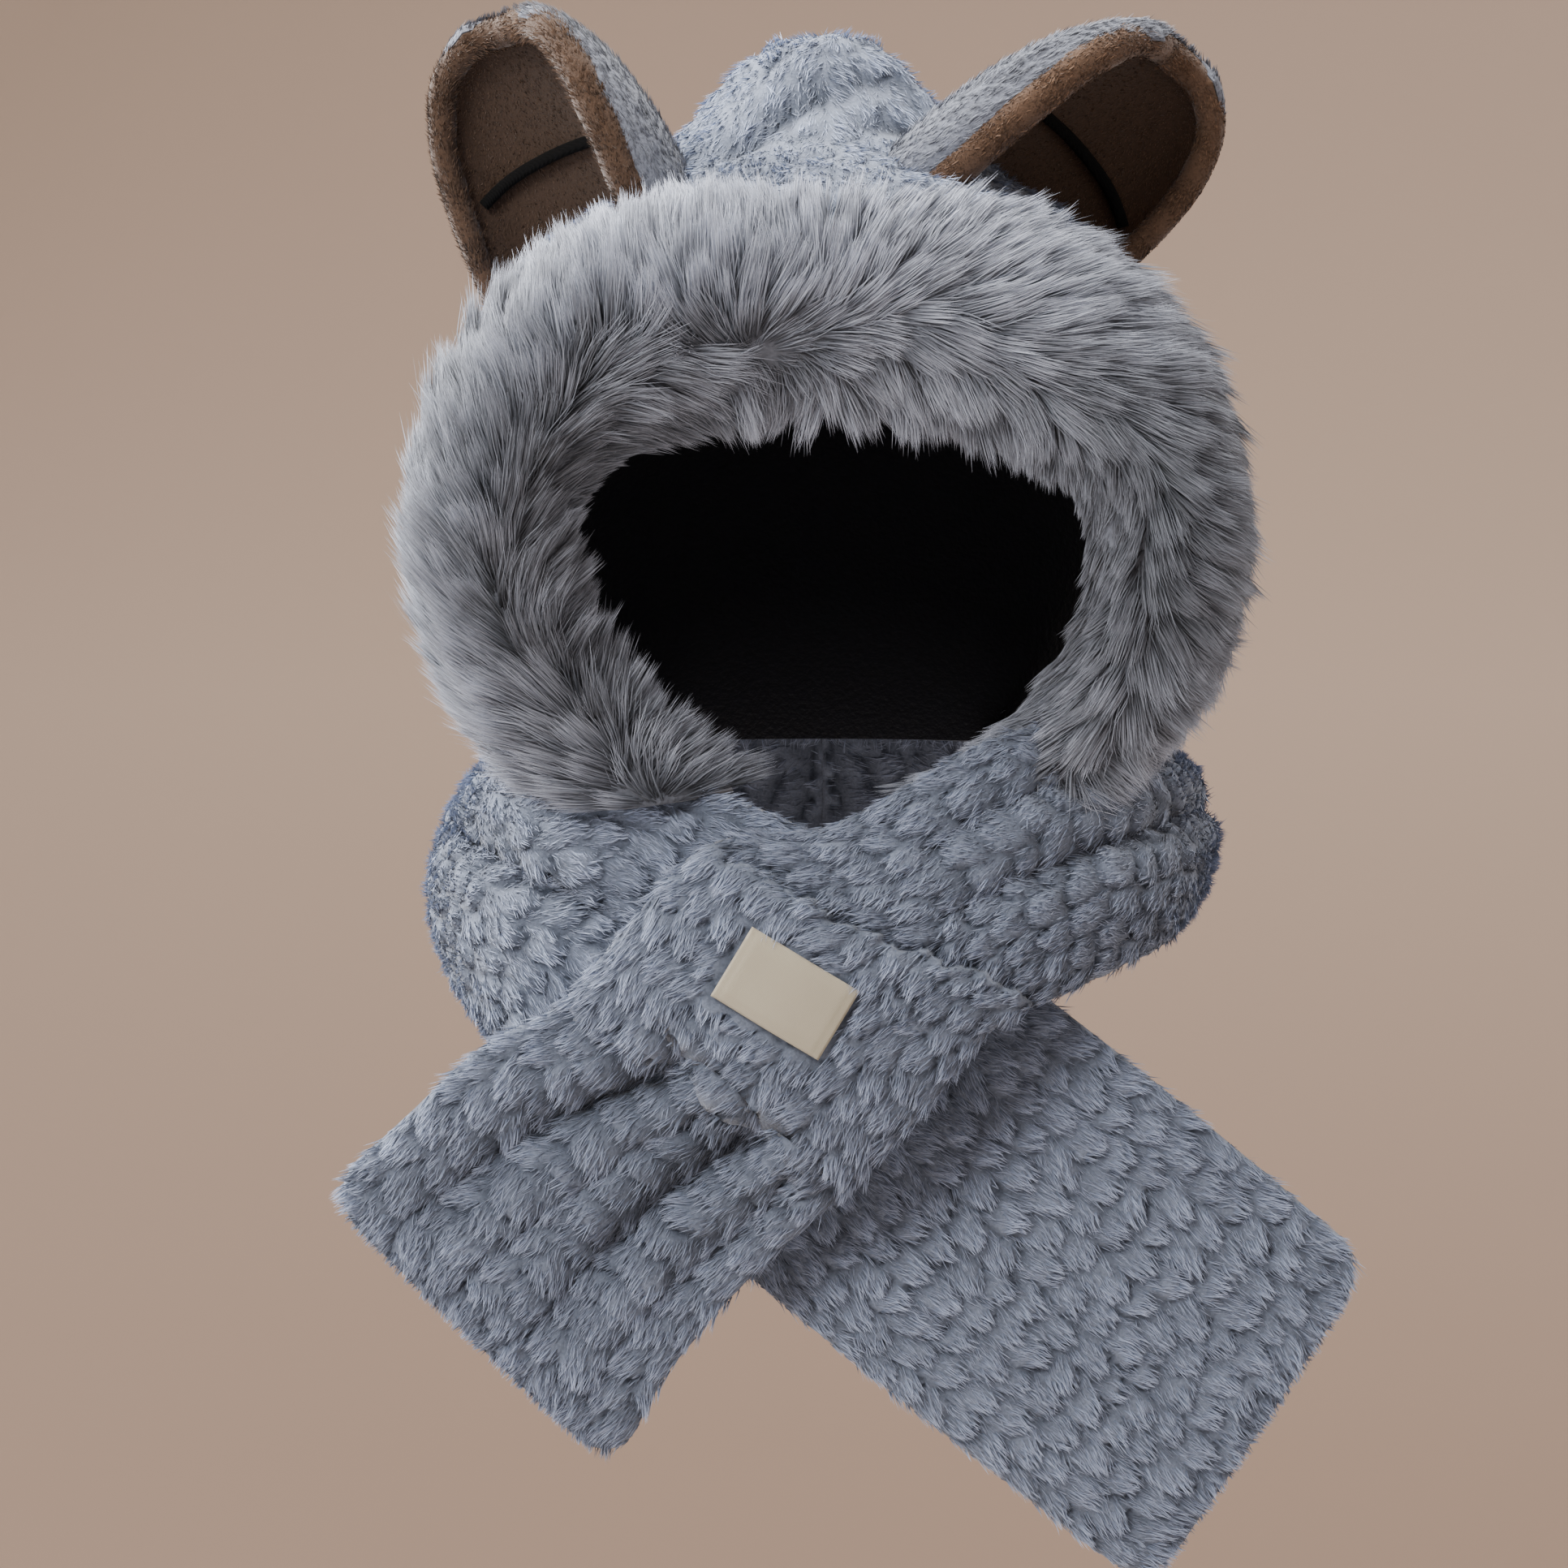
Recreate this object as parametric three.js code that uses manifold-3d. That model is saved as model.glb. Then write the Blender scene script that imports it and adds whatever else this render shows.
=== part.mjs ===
// Cat ear hooded scarf: a plush hood with two cupped ears and a long-pile fur trim round the
// face, sewn to a wide scarf whose ends cross at the chest, one drawn through a slit in the other.
// Units are millimetres, +Z is up and the face opening looks along -Y. Left and right are as
// seen from the front, so left is -X. The origin is the seat inside the crown, where a head or
// a stand carries the hood.
import * as THREE from "three";
import Module from "manifold-3d";
import { mergeVertices } from "three/addons/utils/BufferGeometryUtils.js";

// Driving dimensions
const SEAM_GAP = 0.3; // between pieces that are sewn to each other
const HOOD_WALL = 8; // plush with its short pile
const LINING_WALL = 2.4; // dark fleece
const TRIM_BACKING = 5;
const LOCK_LENGTH = 26;
const LOCK_RADIUS = 11;
const EAR_PLUSH = 6;
const EAR_LINING = 6;
const CORD_RADIUS = 1.8;
const SCARF_THICKNESS = 18; // two layers of plush, back to back
const SLIT_LAYER = 8;
const HOOD_STEPS = { along: 20, round: 24 }; // facets of the hood and its lining
const EAR_STEPS = { up: 8, round: 10 };
const LABEL_SIZE = { width: 45, height: 29, thickness: 1.2 };
// The tables below are drawn round a datum; this carries them to the seat inside the crown.
const TO_SEAT = { x: 4, y: -14, z: 7.4 };

// The crown stands up in a soft peak over the seat, with drape folds running down from it.
const CROWN_PEAK = { x: -4, y: 14, height: 46, spreadX: 54, spreadY: 46 };
const CROWN_FOLDS = [
  { fromX: 6, fromY: -6, toX: -58, toY: -40, height: 5, width: 9 },
  { fromX: 12, fromY: 4, toX: 58, toY: -26, height: 5, width: 9 },
  { fromX: -10, fromY: 24, toX: -60, toY: 52, height: 4, width: 11 },
  { fromX: 6, fromY: 30, toX: 50, toY: 66, height: 4, width: 11 },
];

// Outer face of the hood: one arch per row, from the rim of the face opening to the nape. Each
// arch runs from its end on the neckline, past the widest point, over the top to the other end.
const HOOD_ARCHES = [
  { yTop: -100, zTop: -132, yMid: -108, zMid: -190, half: 99, xEnd: 36, yEnd: -90, zEnd: -284 },
  { yTop: -117, zTop: -104, yMid: -120, zMid: -189, half: 119, xEnd: 58, yEnd: -107, zEnd: -286 },
  { yTop: -105, zTop: -72, yMid: -110, zMid: -188, half: 140, xEnd: 86, yEnd: -103, zEnd: -285 },
  { yTop: -66, zTop: -50, yMid: -67, zMid: -186, half: 153, xEnd: 108, yEnd: -70, zEnd: -283 },
  { yTop: -20, zTop: -42, yMid: -20, zMid: -185, half: 158, xEnd: 114, yEnd: -22, zEnd: -282 },
  { yTop: 28, zTop: -46, yMid: 26, zMid: -186, half: 155, xEnd: 114, yEnd: 20, zEnd: -282 },
  { yTop: 78, zTop: -68, yMid: 66, zMid: -190, half: 145, xEnd: 109, yEnd: 56, zEnd: -283 },
  { yTop: 118, zTop: -112, yMid: 100, zMid: -202, half: 126, xEnd: 99, yEnd: 84, zEnd: -284 },
  { yTop: 136, zTop: -184, yMid: 118, zMid: -235, half: 106, xEnd: 88, yEnd: 104, zEnd: -286 },
  { yTop: 130, zTop: -284, yMid: 118, zMid: -286, half: 76, xEnd: 70, yEnd: 115, zEnd: -288 },
];
const TRIM_END = 0.3; // how far the trim reaches from the rim, as a share of the arches
const PARTING = 0.11; // where its pile parts, inwards and outwards
const TRIM_LOCK_ROWS = [
  { at: 0.03, count: 9, lift: 0.3 },
  { at: 0.1, count: 10, lift: 0.55 },
  { at: 0.18, count: 10, lift: 0.5 },
  { at: 0.25, count: 10, lift: 0.35 },
];

// An ear is a cornet: each row is a section across it, up from the crown to the tip.
const EAR_SECTIONS = [
  { up: -36, outward: -3, halfWidth: 53, halfDepth: 31, outerTurn: 95, innerTurn: 112 },
  { up: 0, outward: 0, halfWidth: 53, halfDepth: 30, outerTurn: 95, innerTurn: 116 },
  { up: 30, outward: 4, halfWidth: 51, halfDepth: 28.5, outerTurn: 92, innerTurn: 114 },
  { up: 51, outward: 7, halfWidth: 46, halfDepth: 25.5, outerTurn: 90, innerTurn: 110 },
  { up: 67, outward: 9, halfWidth: 38, halfDepth: 21.5, outerTurn: 88, innerTurn: 104 },
  { up: 78, outward: 10, halfWidth: 28, halfDepth: 16.5, outerTurn: 84, innerTurn: 96 },
  { up: 85, outward: 10, halfWidth: 16, halfDepth: 10.5, outerTurn: 78, innerTurn: 86 },
];
const EARS = [
  { name: "left", side: -1, x: -97, y: -26, z: -75, lean: 17.5, pitch: 7.5, yaw: 38 },
  { name: "right", side: 1, x: 73.5, y: -27, z: -66.5, lean: 42.5, pitch: 18, yaw: 25.5 },
];
// The black cord that draws the lining into its fold: points across the lining's face.
const EAR_CORD = [
  { up: 18, turn: -72 },
  { up: 25, turn: -50 },
  { up: 29, turn: -28 },
  { up: 32, turn: -4 },
  { up: 32, turn: 18 },
];

// The two halves of the scarf, from the seam at the back of the neck to the free end. Each row
// gives the upper and the lower edge of the strip, and how far it bellies out between them.
const SCARF_LEFT = [
  { ux: 0, uy: 135, uz: -270, lx: 0, ly: 144, lz: -396, belly: 16 },
  { ux: -58, uy: 126, uz: -270, lx: -64, ly: 134, lz: -396, belly: 18 },
  { ux: -101, uy: 91, uz: -270, lx: -110, ly: 96, lz: -394, belly: 20 },
  { ux: -116, uy: 34, uz: -271, lx: -126, ly: 34, lz: -390, belly: 26 },
  { ux: -116, uy: -26, uz: -272, lx: -123, ly: -32, lz: -386, belly: 27 },
  { ux: -95, uy: -78, uz: -274, lx: -117, ly: -72, lz: -392, belly: 17 },
  { ux: -52, uy: -98, uz: -280, lx: -100, ly: -92, lz: -410, belly: 10 },
  { ux: -4, uy: -104, uz: -298, lx: -66, ly: -104, lz: -432, belly: 5 },
  { ux: 40, uy: -106, uz: -327, lx: -42, ly: -108, lz: -453, belly: 3 },
  { ux: 80, uy: -106, uz: -358, lx: -14, ly: -108, lz: -477, belly: 3 },
  { ux: 122, uy: -106, uz: -391, lx: 26, ly: -108, lz: -510, belly: 3 },
  { ux: 163, uy: -105, uz: -425, lx: 71, ly: -107, lz: -546, belly: 3 },
  { ux: 203, uy: -104, uz: -459, lx: 121, ly: -106, lz: -585, belly: 2 },
];
const SCARF_RIGHT = [
  { ux: 0, uy: 135, uz: -270, lx: 0, ly: 144, lz: -396, belly: 16 },
  { ux: 58, uy: 126, uz: -270, lx: 64, ly: 134, lz: -391, belly: 18 },
  { ux: 101, uy: 91, uz: -270, lx: 112, ly: 96, lz: -376, belly: 20 },
  { ux: 115, uy: 34, uz: -270, lx: 130, ly: 34, lz: -354, belly: 22 },
  { ux: 113, uy: -24, uz: -268, lx: 134, ly: -34, lz: -338, belly: 20 },
  { ux: 96, uy: -80, uz: -258, lx: 121, ly: -88, lz: -342, belly: 14 },
  { ux: 58, uy: -112, uz: -262, lx: 86, ly: -124, lz: -354, belly: 8 },
  { ux: 2, uy: -128, uz: -291, lx: 60, ly: -138, lz: -364, belly: 6 },
  { ux: -44, uy: -134, uz: -298, lx: 40, ly: -142, lz: -387, belly: 7 },
  { ux: -74, uy: -134, uz: -328, lx: 16, ly: -140, lz: -414, belly: 8 },
  { ux: -99, uy: -130, uz: -357, lx: -8, ly: -134, lz: -438, belly: 6 },
  { ux: -127, uy: -127, uz: -373, lx: -31, ly: -129, lz: -461, belly: 4 },
  { ux: -155, uy: -125, uz: -399, lx: -58, ly: -127, lz: -493, belly: 3 },
  { ux: -187, uy: -124, uz: -429, lx: -80, ly: -126, lz: -533, belly: 2 },
];
// Creases pressed into the outer face: where each starts and ends along the strip and across
// it (0 is the upper edge, 1 the lower), how deep it is and how wide.
const CREASES_LEFT = [
  { from: 0.3, to: 0.52, acrossFrom: 0.3, acrossTo: 0.42, depth: 7, width: 0.07 },
  { from: 0.02, to: 0.2, acrossFrom: 0.45, acrossTo: 0.55, depth: 4, width: 0.1 },
];
const CREASES_RIGHT = [
  { from: 0.2, to: 0.53, acrossFrom: 0.5, acrossTo: 0.52, depth: 12, width: 0.08 },
  { from: 0.28, to: 0.52, acrossFrom: 0.24, acrossTo: 0.26, depth: 6, width: 0.06 },
  { from: 0.72, to: 0.97, acrossFrom: 0.44, acrossTo: 0.2, depth: 11, width: 0.08 },
  { from: 0.72, to: 0.95, acrossFrom: 0.74, acrossTo: 0.68, depth: 11, width: 0.08 },
];
// The rear layer of the slit: it leaves the right half's back, passes behind the other end and
// joins it again, so that the crossing holds.
const SLIT_ROWS = [
  { ux: 84, uy: -96, uz: -276, lx: 104, ly: -100, lz: -338, belly: 0 },
  { ux: 50, uy: -84, uz: -288, lx: 84, ly: -88, lz: -354, belly: 0 },
  { ux: 10, uy: -82, uz: -310, lx: 58, ly: -84, lz: -376, belly: 0 },
  { ux: -30, uy: -78, uz: -340, lx: 26, ly: -82, lz: -406, belly: 0 },
  { ux: -60, uy: -80, uz: -368, lx: 0, ly: -84, lz: -432, belly: 0 },
  { ux: -84, uy: -96, uz: -394, lx: -26, ly: -98, lz: -458, belly: 0 },
  { ux: -98, uy: -111, uz: -410, lx: -50, ly: -112, lz: -474, belly: 0 },
];
const LABEL_AT = { along: 0.645, across: 0.47, turn: -31 }; // on the band, degrees from level

const COLOURS = {
  plush: { color: 0x8593a8, roughness: 0.95, metalness: 0 },
  fur: { color: 0x8d8f9a, roughness: 0.85, metalness: 0 },
  earLining: { color: 0x6b5344, roughness: 0.95, metalness: 0 },
  cord: { color: 0x0b0b0d, roughness: 0.8, metalness: 0 },
  lining: { color: 0x0b0e16, roughness: 0.95, metalness: 0 },
  label: { color: 0xcfc4a8, roughness: 0.9, metalness: 0 },
};

const wasm = await Module();
wasm.setup();

const vector = (x, y, z) => new THREE.Vector3(x, y, z);
const radians = THREE.MathUtils.degToRad;

// A smooth value from one column of a table, at a share of the way down its rows.
function smooth(rows, column, share) {
  const last = rows.length - 1;
  const i = THREE.MathUtils.clamp(Math.floor(share * last), 0, last - 1);
  const f = share * last - i;
  const p = [-1, 0, 1, 2].map((k) => {
    const j = i + k;
    if (j < 0) return 2 * rows[0][column] - rows[1][column];
    if (j > last) return 2 * rows[last][column] - rows[last - 1][column];
    return rows[j][column];
  });
  const a = 2 * p[1];
  const b = p[2] - p[0];
  const c = 2 * p[0] - 5 * p[1] + 4 * p[2] - p[3];
  const d = 3 * p[1] - p[0] - 3 * p[2] + p[3];
  return 0.5 * (a + f * (b + f * (c + f * d)));
}

function smoothRow(rows, share) {
  const columns = Object.keys(rows[0]);
  return Object.fromEntries(columns.map((column) => [column, smooth(rows, column, share)]));
}

// Height of a soft ridge that runs between two points and fades at both ends.
function ridgeHeight(fold, x, y) {
  const dx = fold.toX - fold.fromX;
  const dy = fold.toY - fold.fromY;
  const length = Math.hypot(dx, dy);
  const along = ((x - fold.fromX) * dx + (y - fold.fromY) * dy) / (length * length);
  const off = ((x - fold.fromX) * dy - (y - fold.fromY) * dx) / length;
  const fade = Math.sin(Math.PI * THREE.MathUtils.clamp(along * 0.8 + 0.1, 0, 1));
  return fold.height * fade * Math.exp(-((off / fold.width) ** 2));
}

// Outer face of the hood. u runs from the rim to the nape, v from the left end (-1) to the right.
function hoodPoint(u, v) {
  const row = smoothRow(HOOD_ARCHES, u);
  const endTurn = Math.PI - Math.asin(Math.min(row.xEnd / row.half, 0.999));
  const turn = v * endTurn;
  const cosine = Math.cos(turn);
  const upper = cosine >= 0;
  const share = upper ? cosine : cosine / Math.cos(endTurn);
  const x = row.half * Math.sin(turn);
  const y = row.yMid + (upper ? row.yTop - row.yMid : row.yEnd - row.yMid) * share;
  let z = row.zMid + (upper ? row.zTop - row.zMid : row.zEnd - row.zMid) * share;
  if (upper) {
    const dx = (x - CROWN_PEAK.x) / CROWN_PEAK.spreadX;
    const dy = (y - CROWN_PEAK.y) / CROWN_PEAK.spreadY;
    z += CROWN_PEAK.height * Math.exp(-((dx * dx + dy * dy) ** 1.35));
    z += CROWN_FOLDS.reduce((sum, fold) => sum + ridgeHeight(fold, x, y), 0);
  }
  return vector(x, y, z);
}

const STEP = 1e-3;

// Unit normal of a surface function, from its slopes along both directions.
function normalOf(surface, u, v) {
  const du = surface(u + STEP, v).sub(surface(u - STEP, v));
  const dv = surface(u, v + STEP).sub(surface(u, v - STEP));
  return dv.cross(du).normalize();
}

// The hood's normal points out of the hood. At the nape and along the neckline it is taken a
// little inside the edge, because the arches run together there.
function hoodNormal(u, v) {
  const insideU = THREE.MathUtils.clamp(u, STEP, 0.95);
  const insideV = THREE.MathUtils.clamp(v, -0.95, 0.95);
  return normalOf(hoodPoint, insideU, insideV);
}

// A closed wall between two heights over a surface, as a grid on each face and four edges.
function wallBetween(surface, normal, spanU, spanV, stepsU, stepsV, low, high) {
  const positions = [];
  const index = [];
  const rowLength = stepsV + 1;
  const faceSize = (stepsU + 1) * rowLength;
  for (const height of [low, high]) {
    for (let i = 0; i <= stepsU; i++) {
      for (let j = 0; j <= stepsV; j++) {
        const u = THREE.MathUtils.lerp(spanU[0], spanU[1], i / stepsU);
        const v = THREE.MathUtils.lerp(spanV[0], spanV[1], j / stepsV);
        const rise = typeof height === "function" ? height(u, v) : height;
        const point = surface(u, v).addScaledVector(normal(u, v), rise);
        positions.push(point.x, point.y, point.z);
      }
    }
  }
  const at = (face, i, j) => face * faceSize + i * rowLength + j;
  const quad = (a, b, c, d) => index.push(a, b, c, a, c, d);
  for (let i = 0; i < stepsU; i++) {
    for (let j = 0; j < stepsV; j++) {
      quad(at(0, i, j), at(0, i, j + 1), at(0, i + 1, j + 1), at(0, i + 1, j));
      quad(at(1, i, j), at(1, i + 1, j), at(1, i + 1, j + 1), at(1, i, j + 1));
    }
    quad(at(0, i, 0), at(0, i + 1, 0), at(1, i + 1, 0), at(1, i, 0));
    quad(at(0, i, stepsV), at(1, i, stepsV), at(1, i + 1, stepsV), at(0, i + 1, stepsV));
  }
  for (let j = 0; j < stepsV; j++) {
    quad(at(0, 0, j), at(1, 0, j), at(1, 0, j + 1), at(0, 0, j + 1));
    quad(at(0, stepsU, j), at(0, stepsU, j + 1), at(1, stepsU, j + 1), at(1, stepsU, j));
  }
  return geometryOf(positions, index);
}

function geometryOf(positions, index) {
  const geometry = new THREE.BufferGeometry();
  geometry.setAttribute("position", new THREE.Float32BufferAttribute(positions, 3));
  geometry.setIndex(index);
  return geometry;
}

// A solid that can be cut and joined. A geometry whose faces point inwards is turned round.
function solid(geometry) {
  const bare = geometry.clone();
  bare.deleteAttribute("normal");
  bare.deleteAttribute("uv");
  const merged = mergeVertices(bare, 1e-3);
  const make = (triVerts) =>
    new wasm.Manifold(
      new wasm.Mesh({
        numProp: 3,
        vertProperties: new Float32Array(merged.attributes.position.array),
        triVerts,
      }),
    );
  const faces = new Uint32Array(merged.index.array);
  const made = make(faces);
  return made.volume() > 0 ? made : make(faces.slice().reverse());
}

const biggest = (body) => body.decompose().sort((a, b) => b.volume() - a.volume())[0];

function hoodWall(low, high, spill = 0) {
  const { along, round } = HOOD_STEPS;
  const spanU = [-spill, 1 + spill];
  const spanV = [-1 - spill, 1 + spill];
  return solid(wallBetween(hoodPoint, hoodNormal, spanU, spanV, along, round, low, high));
}

// Half of the trim: a strip of backing on the hood and rows of locks that part along a line.
function furTrim(side) {
  const span = side < 0 ? [-1, -0.003] : [0.003, 1];
  const stepsU = HOOD_STEPS.along * TRIM_END;
  const stepsV = HOOD_STEPS.round / 2;
  const low = 2 * SEAM_GAP;
  const high = low + TRIM_BACKING;
  const spanU = [0, TRIM_END];
  let body = solid(wallBetween(hoodPoint, hoodNormal, spanU, span, stepsU, stepsV, low, high));
  for (const row of TRIM_LOCK_ROWS) {
    for (let k = 0; k < row.count; k++) {
      const v = side * THREE.MathUtils.lerp(0.05, 0.93, (k + 0.5) / row.count);
      body = body.add(furLock(row.at, v, row.lift));
    }
  }
  return body;
}

// One lock of pile: a five-sided spike that stands on the backing and leans along the hood,
// away from the parting.
function furLock(u, v, lift) {
  const normal = hoodNormal(u, v);
  const flow = hoodPoint(u + STEP, v).sub(hoodPoint(u - STEP, v)).normalize();
  if (u < PARTING) flow.negate();
  const aside = normal.clone().cross(flow).normalize();
  const root = hoodPoint(u, v).addScaledVector(normal, 2 * SEAM_GAP + TRIM_BACKING * 0.6);
  const positions = [];
  for (let k = 0; k < 5; k++) {
    const turn = (2 * Math.PI * k) / 5;
    const foot = root.clone().addScaledVector(flow, 0.6 * LOCK_RADIUS * Math.cos(turn));
    foot.addScaledVector(aside, LOCK_RADIUS * Math.sin(turn));
    positions.push(...foot.toArray());
  }
  const tip = root.addScaledVector(flow, LOCK_LENGTH).addScaledVector(normal, LOCK_LENGTH * lift);
  positions.push(...tip.toArray());
  const index = [0, 2, 1, 0, 3, 2, 0, 4, 3];
  for (let k = 0; k < 5; k++) index.push(k, (k + 1) % 5, 5);
  return solid(geometryOf(positions, index));
}

// An ear's own axes: across points to its inner side, up to its tip, and front out of its cup.
function earAxes(ear) {
  const turn = new THREE.Euler(
    radians(ear.pitch),
    radians(ear.side * ear.lean),
    radians(ear.side * ear.yaw),
    "XYZ",
  );
  const axis = (x, y, z) => vector(x, y, z).applyEuler(turn);
  return { across: axis(-ear.side, 0, 0), up: axis(0, 0, 1), front: axis(0, -1, 0) };
}

// The face where an ear's plush and lining meet. u runs up the ear, v from the outer edge (0)
// round the back of the cup to the inner edge (1).
function earSurface(ear) {
  const { across, up, front } = earAxes(ear);
  const base = vector(ear.x, ear.y, ear.z);
  return (u, v) => {
    const row = smoothRow(EAR_SECTIONS, u);
    const turn = radians(THREE.MathUtils.lerp(-row.outerTurn, row.innerTurn, v));
    return base
      .clone()
      .addScaledVector(up, row.up)
      .addScaledVector(across, row.halfWidth * Math.sin(turn) - row.outward)
      .addScaledVector(front, -row.halfDepth * Math.cos(turn));
  };
}

function earParts(ear, seat) {
  const surface = earSurface(ear);
  const normal = (u, v) => normalOf(surface, u, v).multiplyScalar(ear.side);
  const wall = (low, high, span = [0, 1]) =>
    solid(wallBetween(surface, normal, [0, 1], span, EAR_STEPS.up, EAR_STEPS.round, low, high));
  const liningDepth = (u) => {
    const row = smoothRow(EAR_SECTIONS, u);
    return -Math.min(EAR_LINING, 0.7 * row.halfDepth);
  };
  const half = SEAM_GAP / 2;
  return {
    outer: biggest(wall(half, EAR_PLUSH).subtract(seat)),
    lining: biggest(wall((u) => liningDepth(u), -half).subtract(seat)),
    grown: wall((u) => liningDepth(u) - SEAM_GAP, EAR_PLUSH + SEAM_GAP, [-0.01, 1.01]),
    cord: earCord(surface, normal, liningDepth),
  };
}

// The cord lies on the lining's face, its ends stopping short of the ear's edges.
function earCord(surface, normal, liningDepth) {
  const rows = EAR_SECTIONS;
  const last = rows.length - 1;
  const shareAt = (up) => {
    const i = rows.findIndex((row, k) => k < last && up <= rows[k + 1].up);
    return (i + (up - rows[i].up) / (rows[i + 1].up - rows[i].up)) / last;
  };
  const points = EAR_CORD.map((stop) => {
    const u = shareAt(stop.up);
    const row = smoothRow(rows, u);
    const v = (stop.turn + row.outerTurn) / (row.outerTurn + row.innerTurn);
    const rise = liningDepth(u) - CORD_RADIUS - 1;
    return surface(u, v).addScaledVector(normal(u, v), rise);
  });
  const section = new THREE.Shape().absarc(0, 0, CORD_RADIUS, 0, 2 * Math.PI);
  return new THREE.ExtrudeGeometry(section, {
    curveSegments: 6,
    steps: 9,
    bevelEnabled: false,
    extrudePath: new THREE.CatmullRomCurve3(points),
  });
}

// Middle face of a strip. u runs along it, v from its upper edge (-1) to its lower edge (1).
function stripSurface(rows, side, creases) {
  return (u, v) => {
    const row = smoothRow(rows, u);
    const upper = vector(row.ux, row.uy, row.uz);
    const lower = vector(row.lx, row.ly, row.lz);
    const next = smoothRow(rows, Math.min(u + STEP, 1));
    const before = smoothRow(rows, Math.max(u - STEP, 0));
    const travel = vector(
      next.ux + next.lx - before.ux - before.lx,
      next.uy + next.ly - before.uy - before.ly,
      next.uz + next.lz - before.uz - before.lz,
    );
    const outward = travel.cross(lower.clone().sub(upper)).normalize().multiplyScalar(side);
    const across = (v + 1) / 2;
    let rise = row.belly * (1 - v * v);
    for (const crease of creases) rise -= creaseDepth(crease, u, across);
    return upper.lerp(lower, across).addScaledVector(outward, rise);
  };
}

function creaseDepth(crease, along, across) {
  const share = (along - crease.from) / (crease.to - crease.from);
  if (share <= 0 || share >= 1) return 0;
  const middle = THREE.MathUtils.lerp(crease.acrossFrom, crease.acrossTo, share);
  const off = (across - middle) / crease.width;
  return crease.depth * Math.sin(Math.PI * share) ** 0.7 * Math.exp(-off * off);
}

// A strip of padded cloth: rings round its section, thin at the edges, closed at both ends.
function strip(rows, options) {
  const { side, creases = [], thickness, steps, ring, grow = 0 } = options;
  const surface = stripSurface(rows, side, creases);
  const normal = (u, v) => {
    const inU = THREE.MathUtils.clamp(u, STEP, 1 - STEP);
    const inV = THREE.MathUtils.clamp(v, -0.97, 0.97);
    return normalOf(surface, inU, inV).multiplyScalar(-side);
  };
  const positions = [];
  const index = [];
  for (let i = 0; i <= steps; i++) {
    const u = i / steps;
    const endRound = Math.min(1, Math.sqrt(Math.max(0, 1 - ((u - 0.955) / 0.055) ** 2)));
    const narrow = u > 0.955 ? 0.84 + 0.16 * endRound : 1;
    const thin = u > 0.955 ? 0.4 + 0.6 * endRound : 1;
    for (let k = 0; k < ring; k++) {
      const turn = (2 * Math.PI * k) / ring;
      const v = Math.sign(Math.cos(turn)) * Math.abs(Math.cos(turn)) ** 0.75;
      const edge = Math.abs(Math.sin(turn)) ** 0.5 * Math.sign(Math.sin(turn));
      const rise = edge * thin * (thickness / 2 + grow);
      const wide = narrow * (v + (v > 0 ? 1 : -1) * (grow > 0 && Math.abs(v) > 0.9 ? 0.008 : 0));
      const point = surface(u, wide).addScaledVector(normal(u, wide), rise);
      positions.push(point.x, point.y, point.z);
    }
  }
  for (let i = 0; i < steps; i++) {
    for (let k = 0; k < ring; k++) {
      const a = i * ring + k;
      const b = i * ring + ((k + 1) % ring);
      index.push(a, b, b + ring, a, b + ring, a + ring);
    }
  }
  // Each end is closed across the ring, from the upper edge to the lower.
  for (const [start, flip] of [[0, true], [steps * ring, false]]) {
    for (let k = 0; k < ring / 2; k++) {
      const a = start + k;
      const b = start + k + 1;
      const c = start + ((ring - k - 1) % ring);
      const d = start + ((ring - k) % ring);
      const faces = k === 0 ? [[a, b, c]] : k === ring / 2 - 1 ? [[a, b, d]] : [[a, b, c], [a, c, d]];
      for (const [p, q, r] of faces) index.push(...(flip ? [p, r, q] : [p, q, r]));
    }
  }
  return solid(geometryOf(positions, index));
}

// The label: a thin patch laid on the outer face of the band, turned to run with the far end.
function labelPatch() {
  const surface = stripSurface(SCARF_RIGHT, 1, CREASES_RIGHT);
  const centre = surface(LABEL_AT.along, LABEL_AT.across * 2 - 1);
  const normal = normalOf(surface, LABEL_AT.along, LABEL_AT.across * 2 - 1).negate();
  const turn = radians(LABEL_AT.turn);
  const right = vector(Math.cos(turn), 0, Math.sin(turn));
  right.addScaledVector(normal, -right.dot(normal)).normalize();
  const up = normal.clone().cross(right).normalize();
  if (up.z < 0) up.negate();
  const plate = new THREE.BoxGeometry(LABEL_SIZE.width, LABEL_SIZE.height, LABEL_SIZE.thickness);
  const rise = SCARF_THICKNESS / 2 + LABEL_SIZE.thickness / 2 - SEAM_GAP;
  const place = new THREE.Matrix4().makeBasis(right, up, normal);
  place.setPosition(centre.addScaledVector(normal, rise));
  return solid(plate.applyMatrix4(place));
}

const group = new THREE.Group();

function addPiece(name, body, look) {
  const mesh = body.getMesh();
  const geometry = geometryOf(Array.from(mesh.vertProperties), Array.from(mesh.triVerts));
  geometry.translate(TO_SEAT.x, TO_SEAT.y, TO_SEAT.z);
  geometry.computeVertexNormals();
  const piece = new THREE.Mesh(geometry, new THREE.MeshStandardMaterial(COLOURS[look]));
  piece.name = name;
  group.add(piece);
}

const hoodShell = hoodWall(-HOOD_WALL, 0);
const hoodGrown = hoodWall(-HOOD_WALL - LINING_WALL - 3 * SEAM_GAP, 1.6 * SEAM_GAP, 0.012);
const liningFace = -HOOD_WALL - SEAM_GAP;
const hoodLining = hoodWall(liningFace - LINING_WALL, liningFace).subtract(hoodShell);

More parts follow.
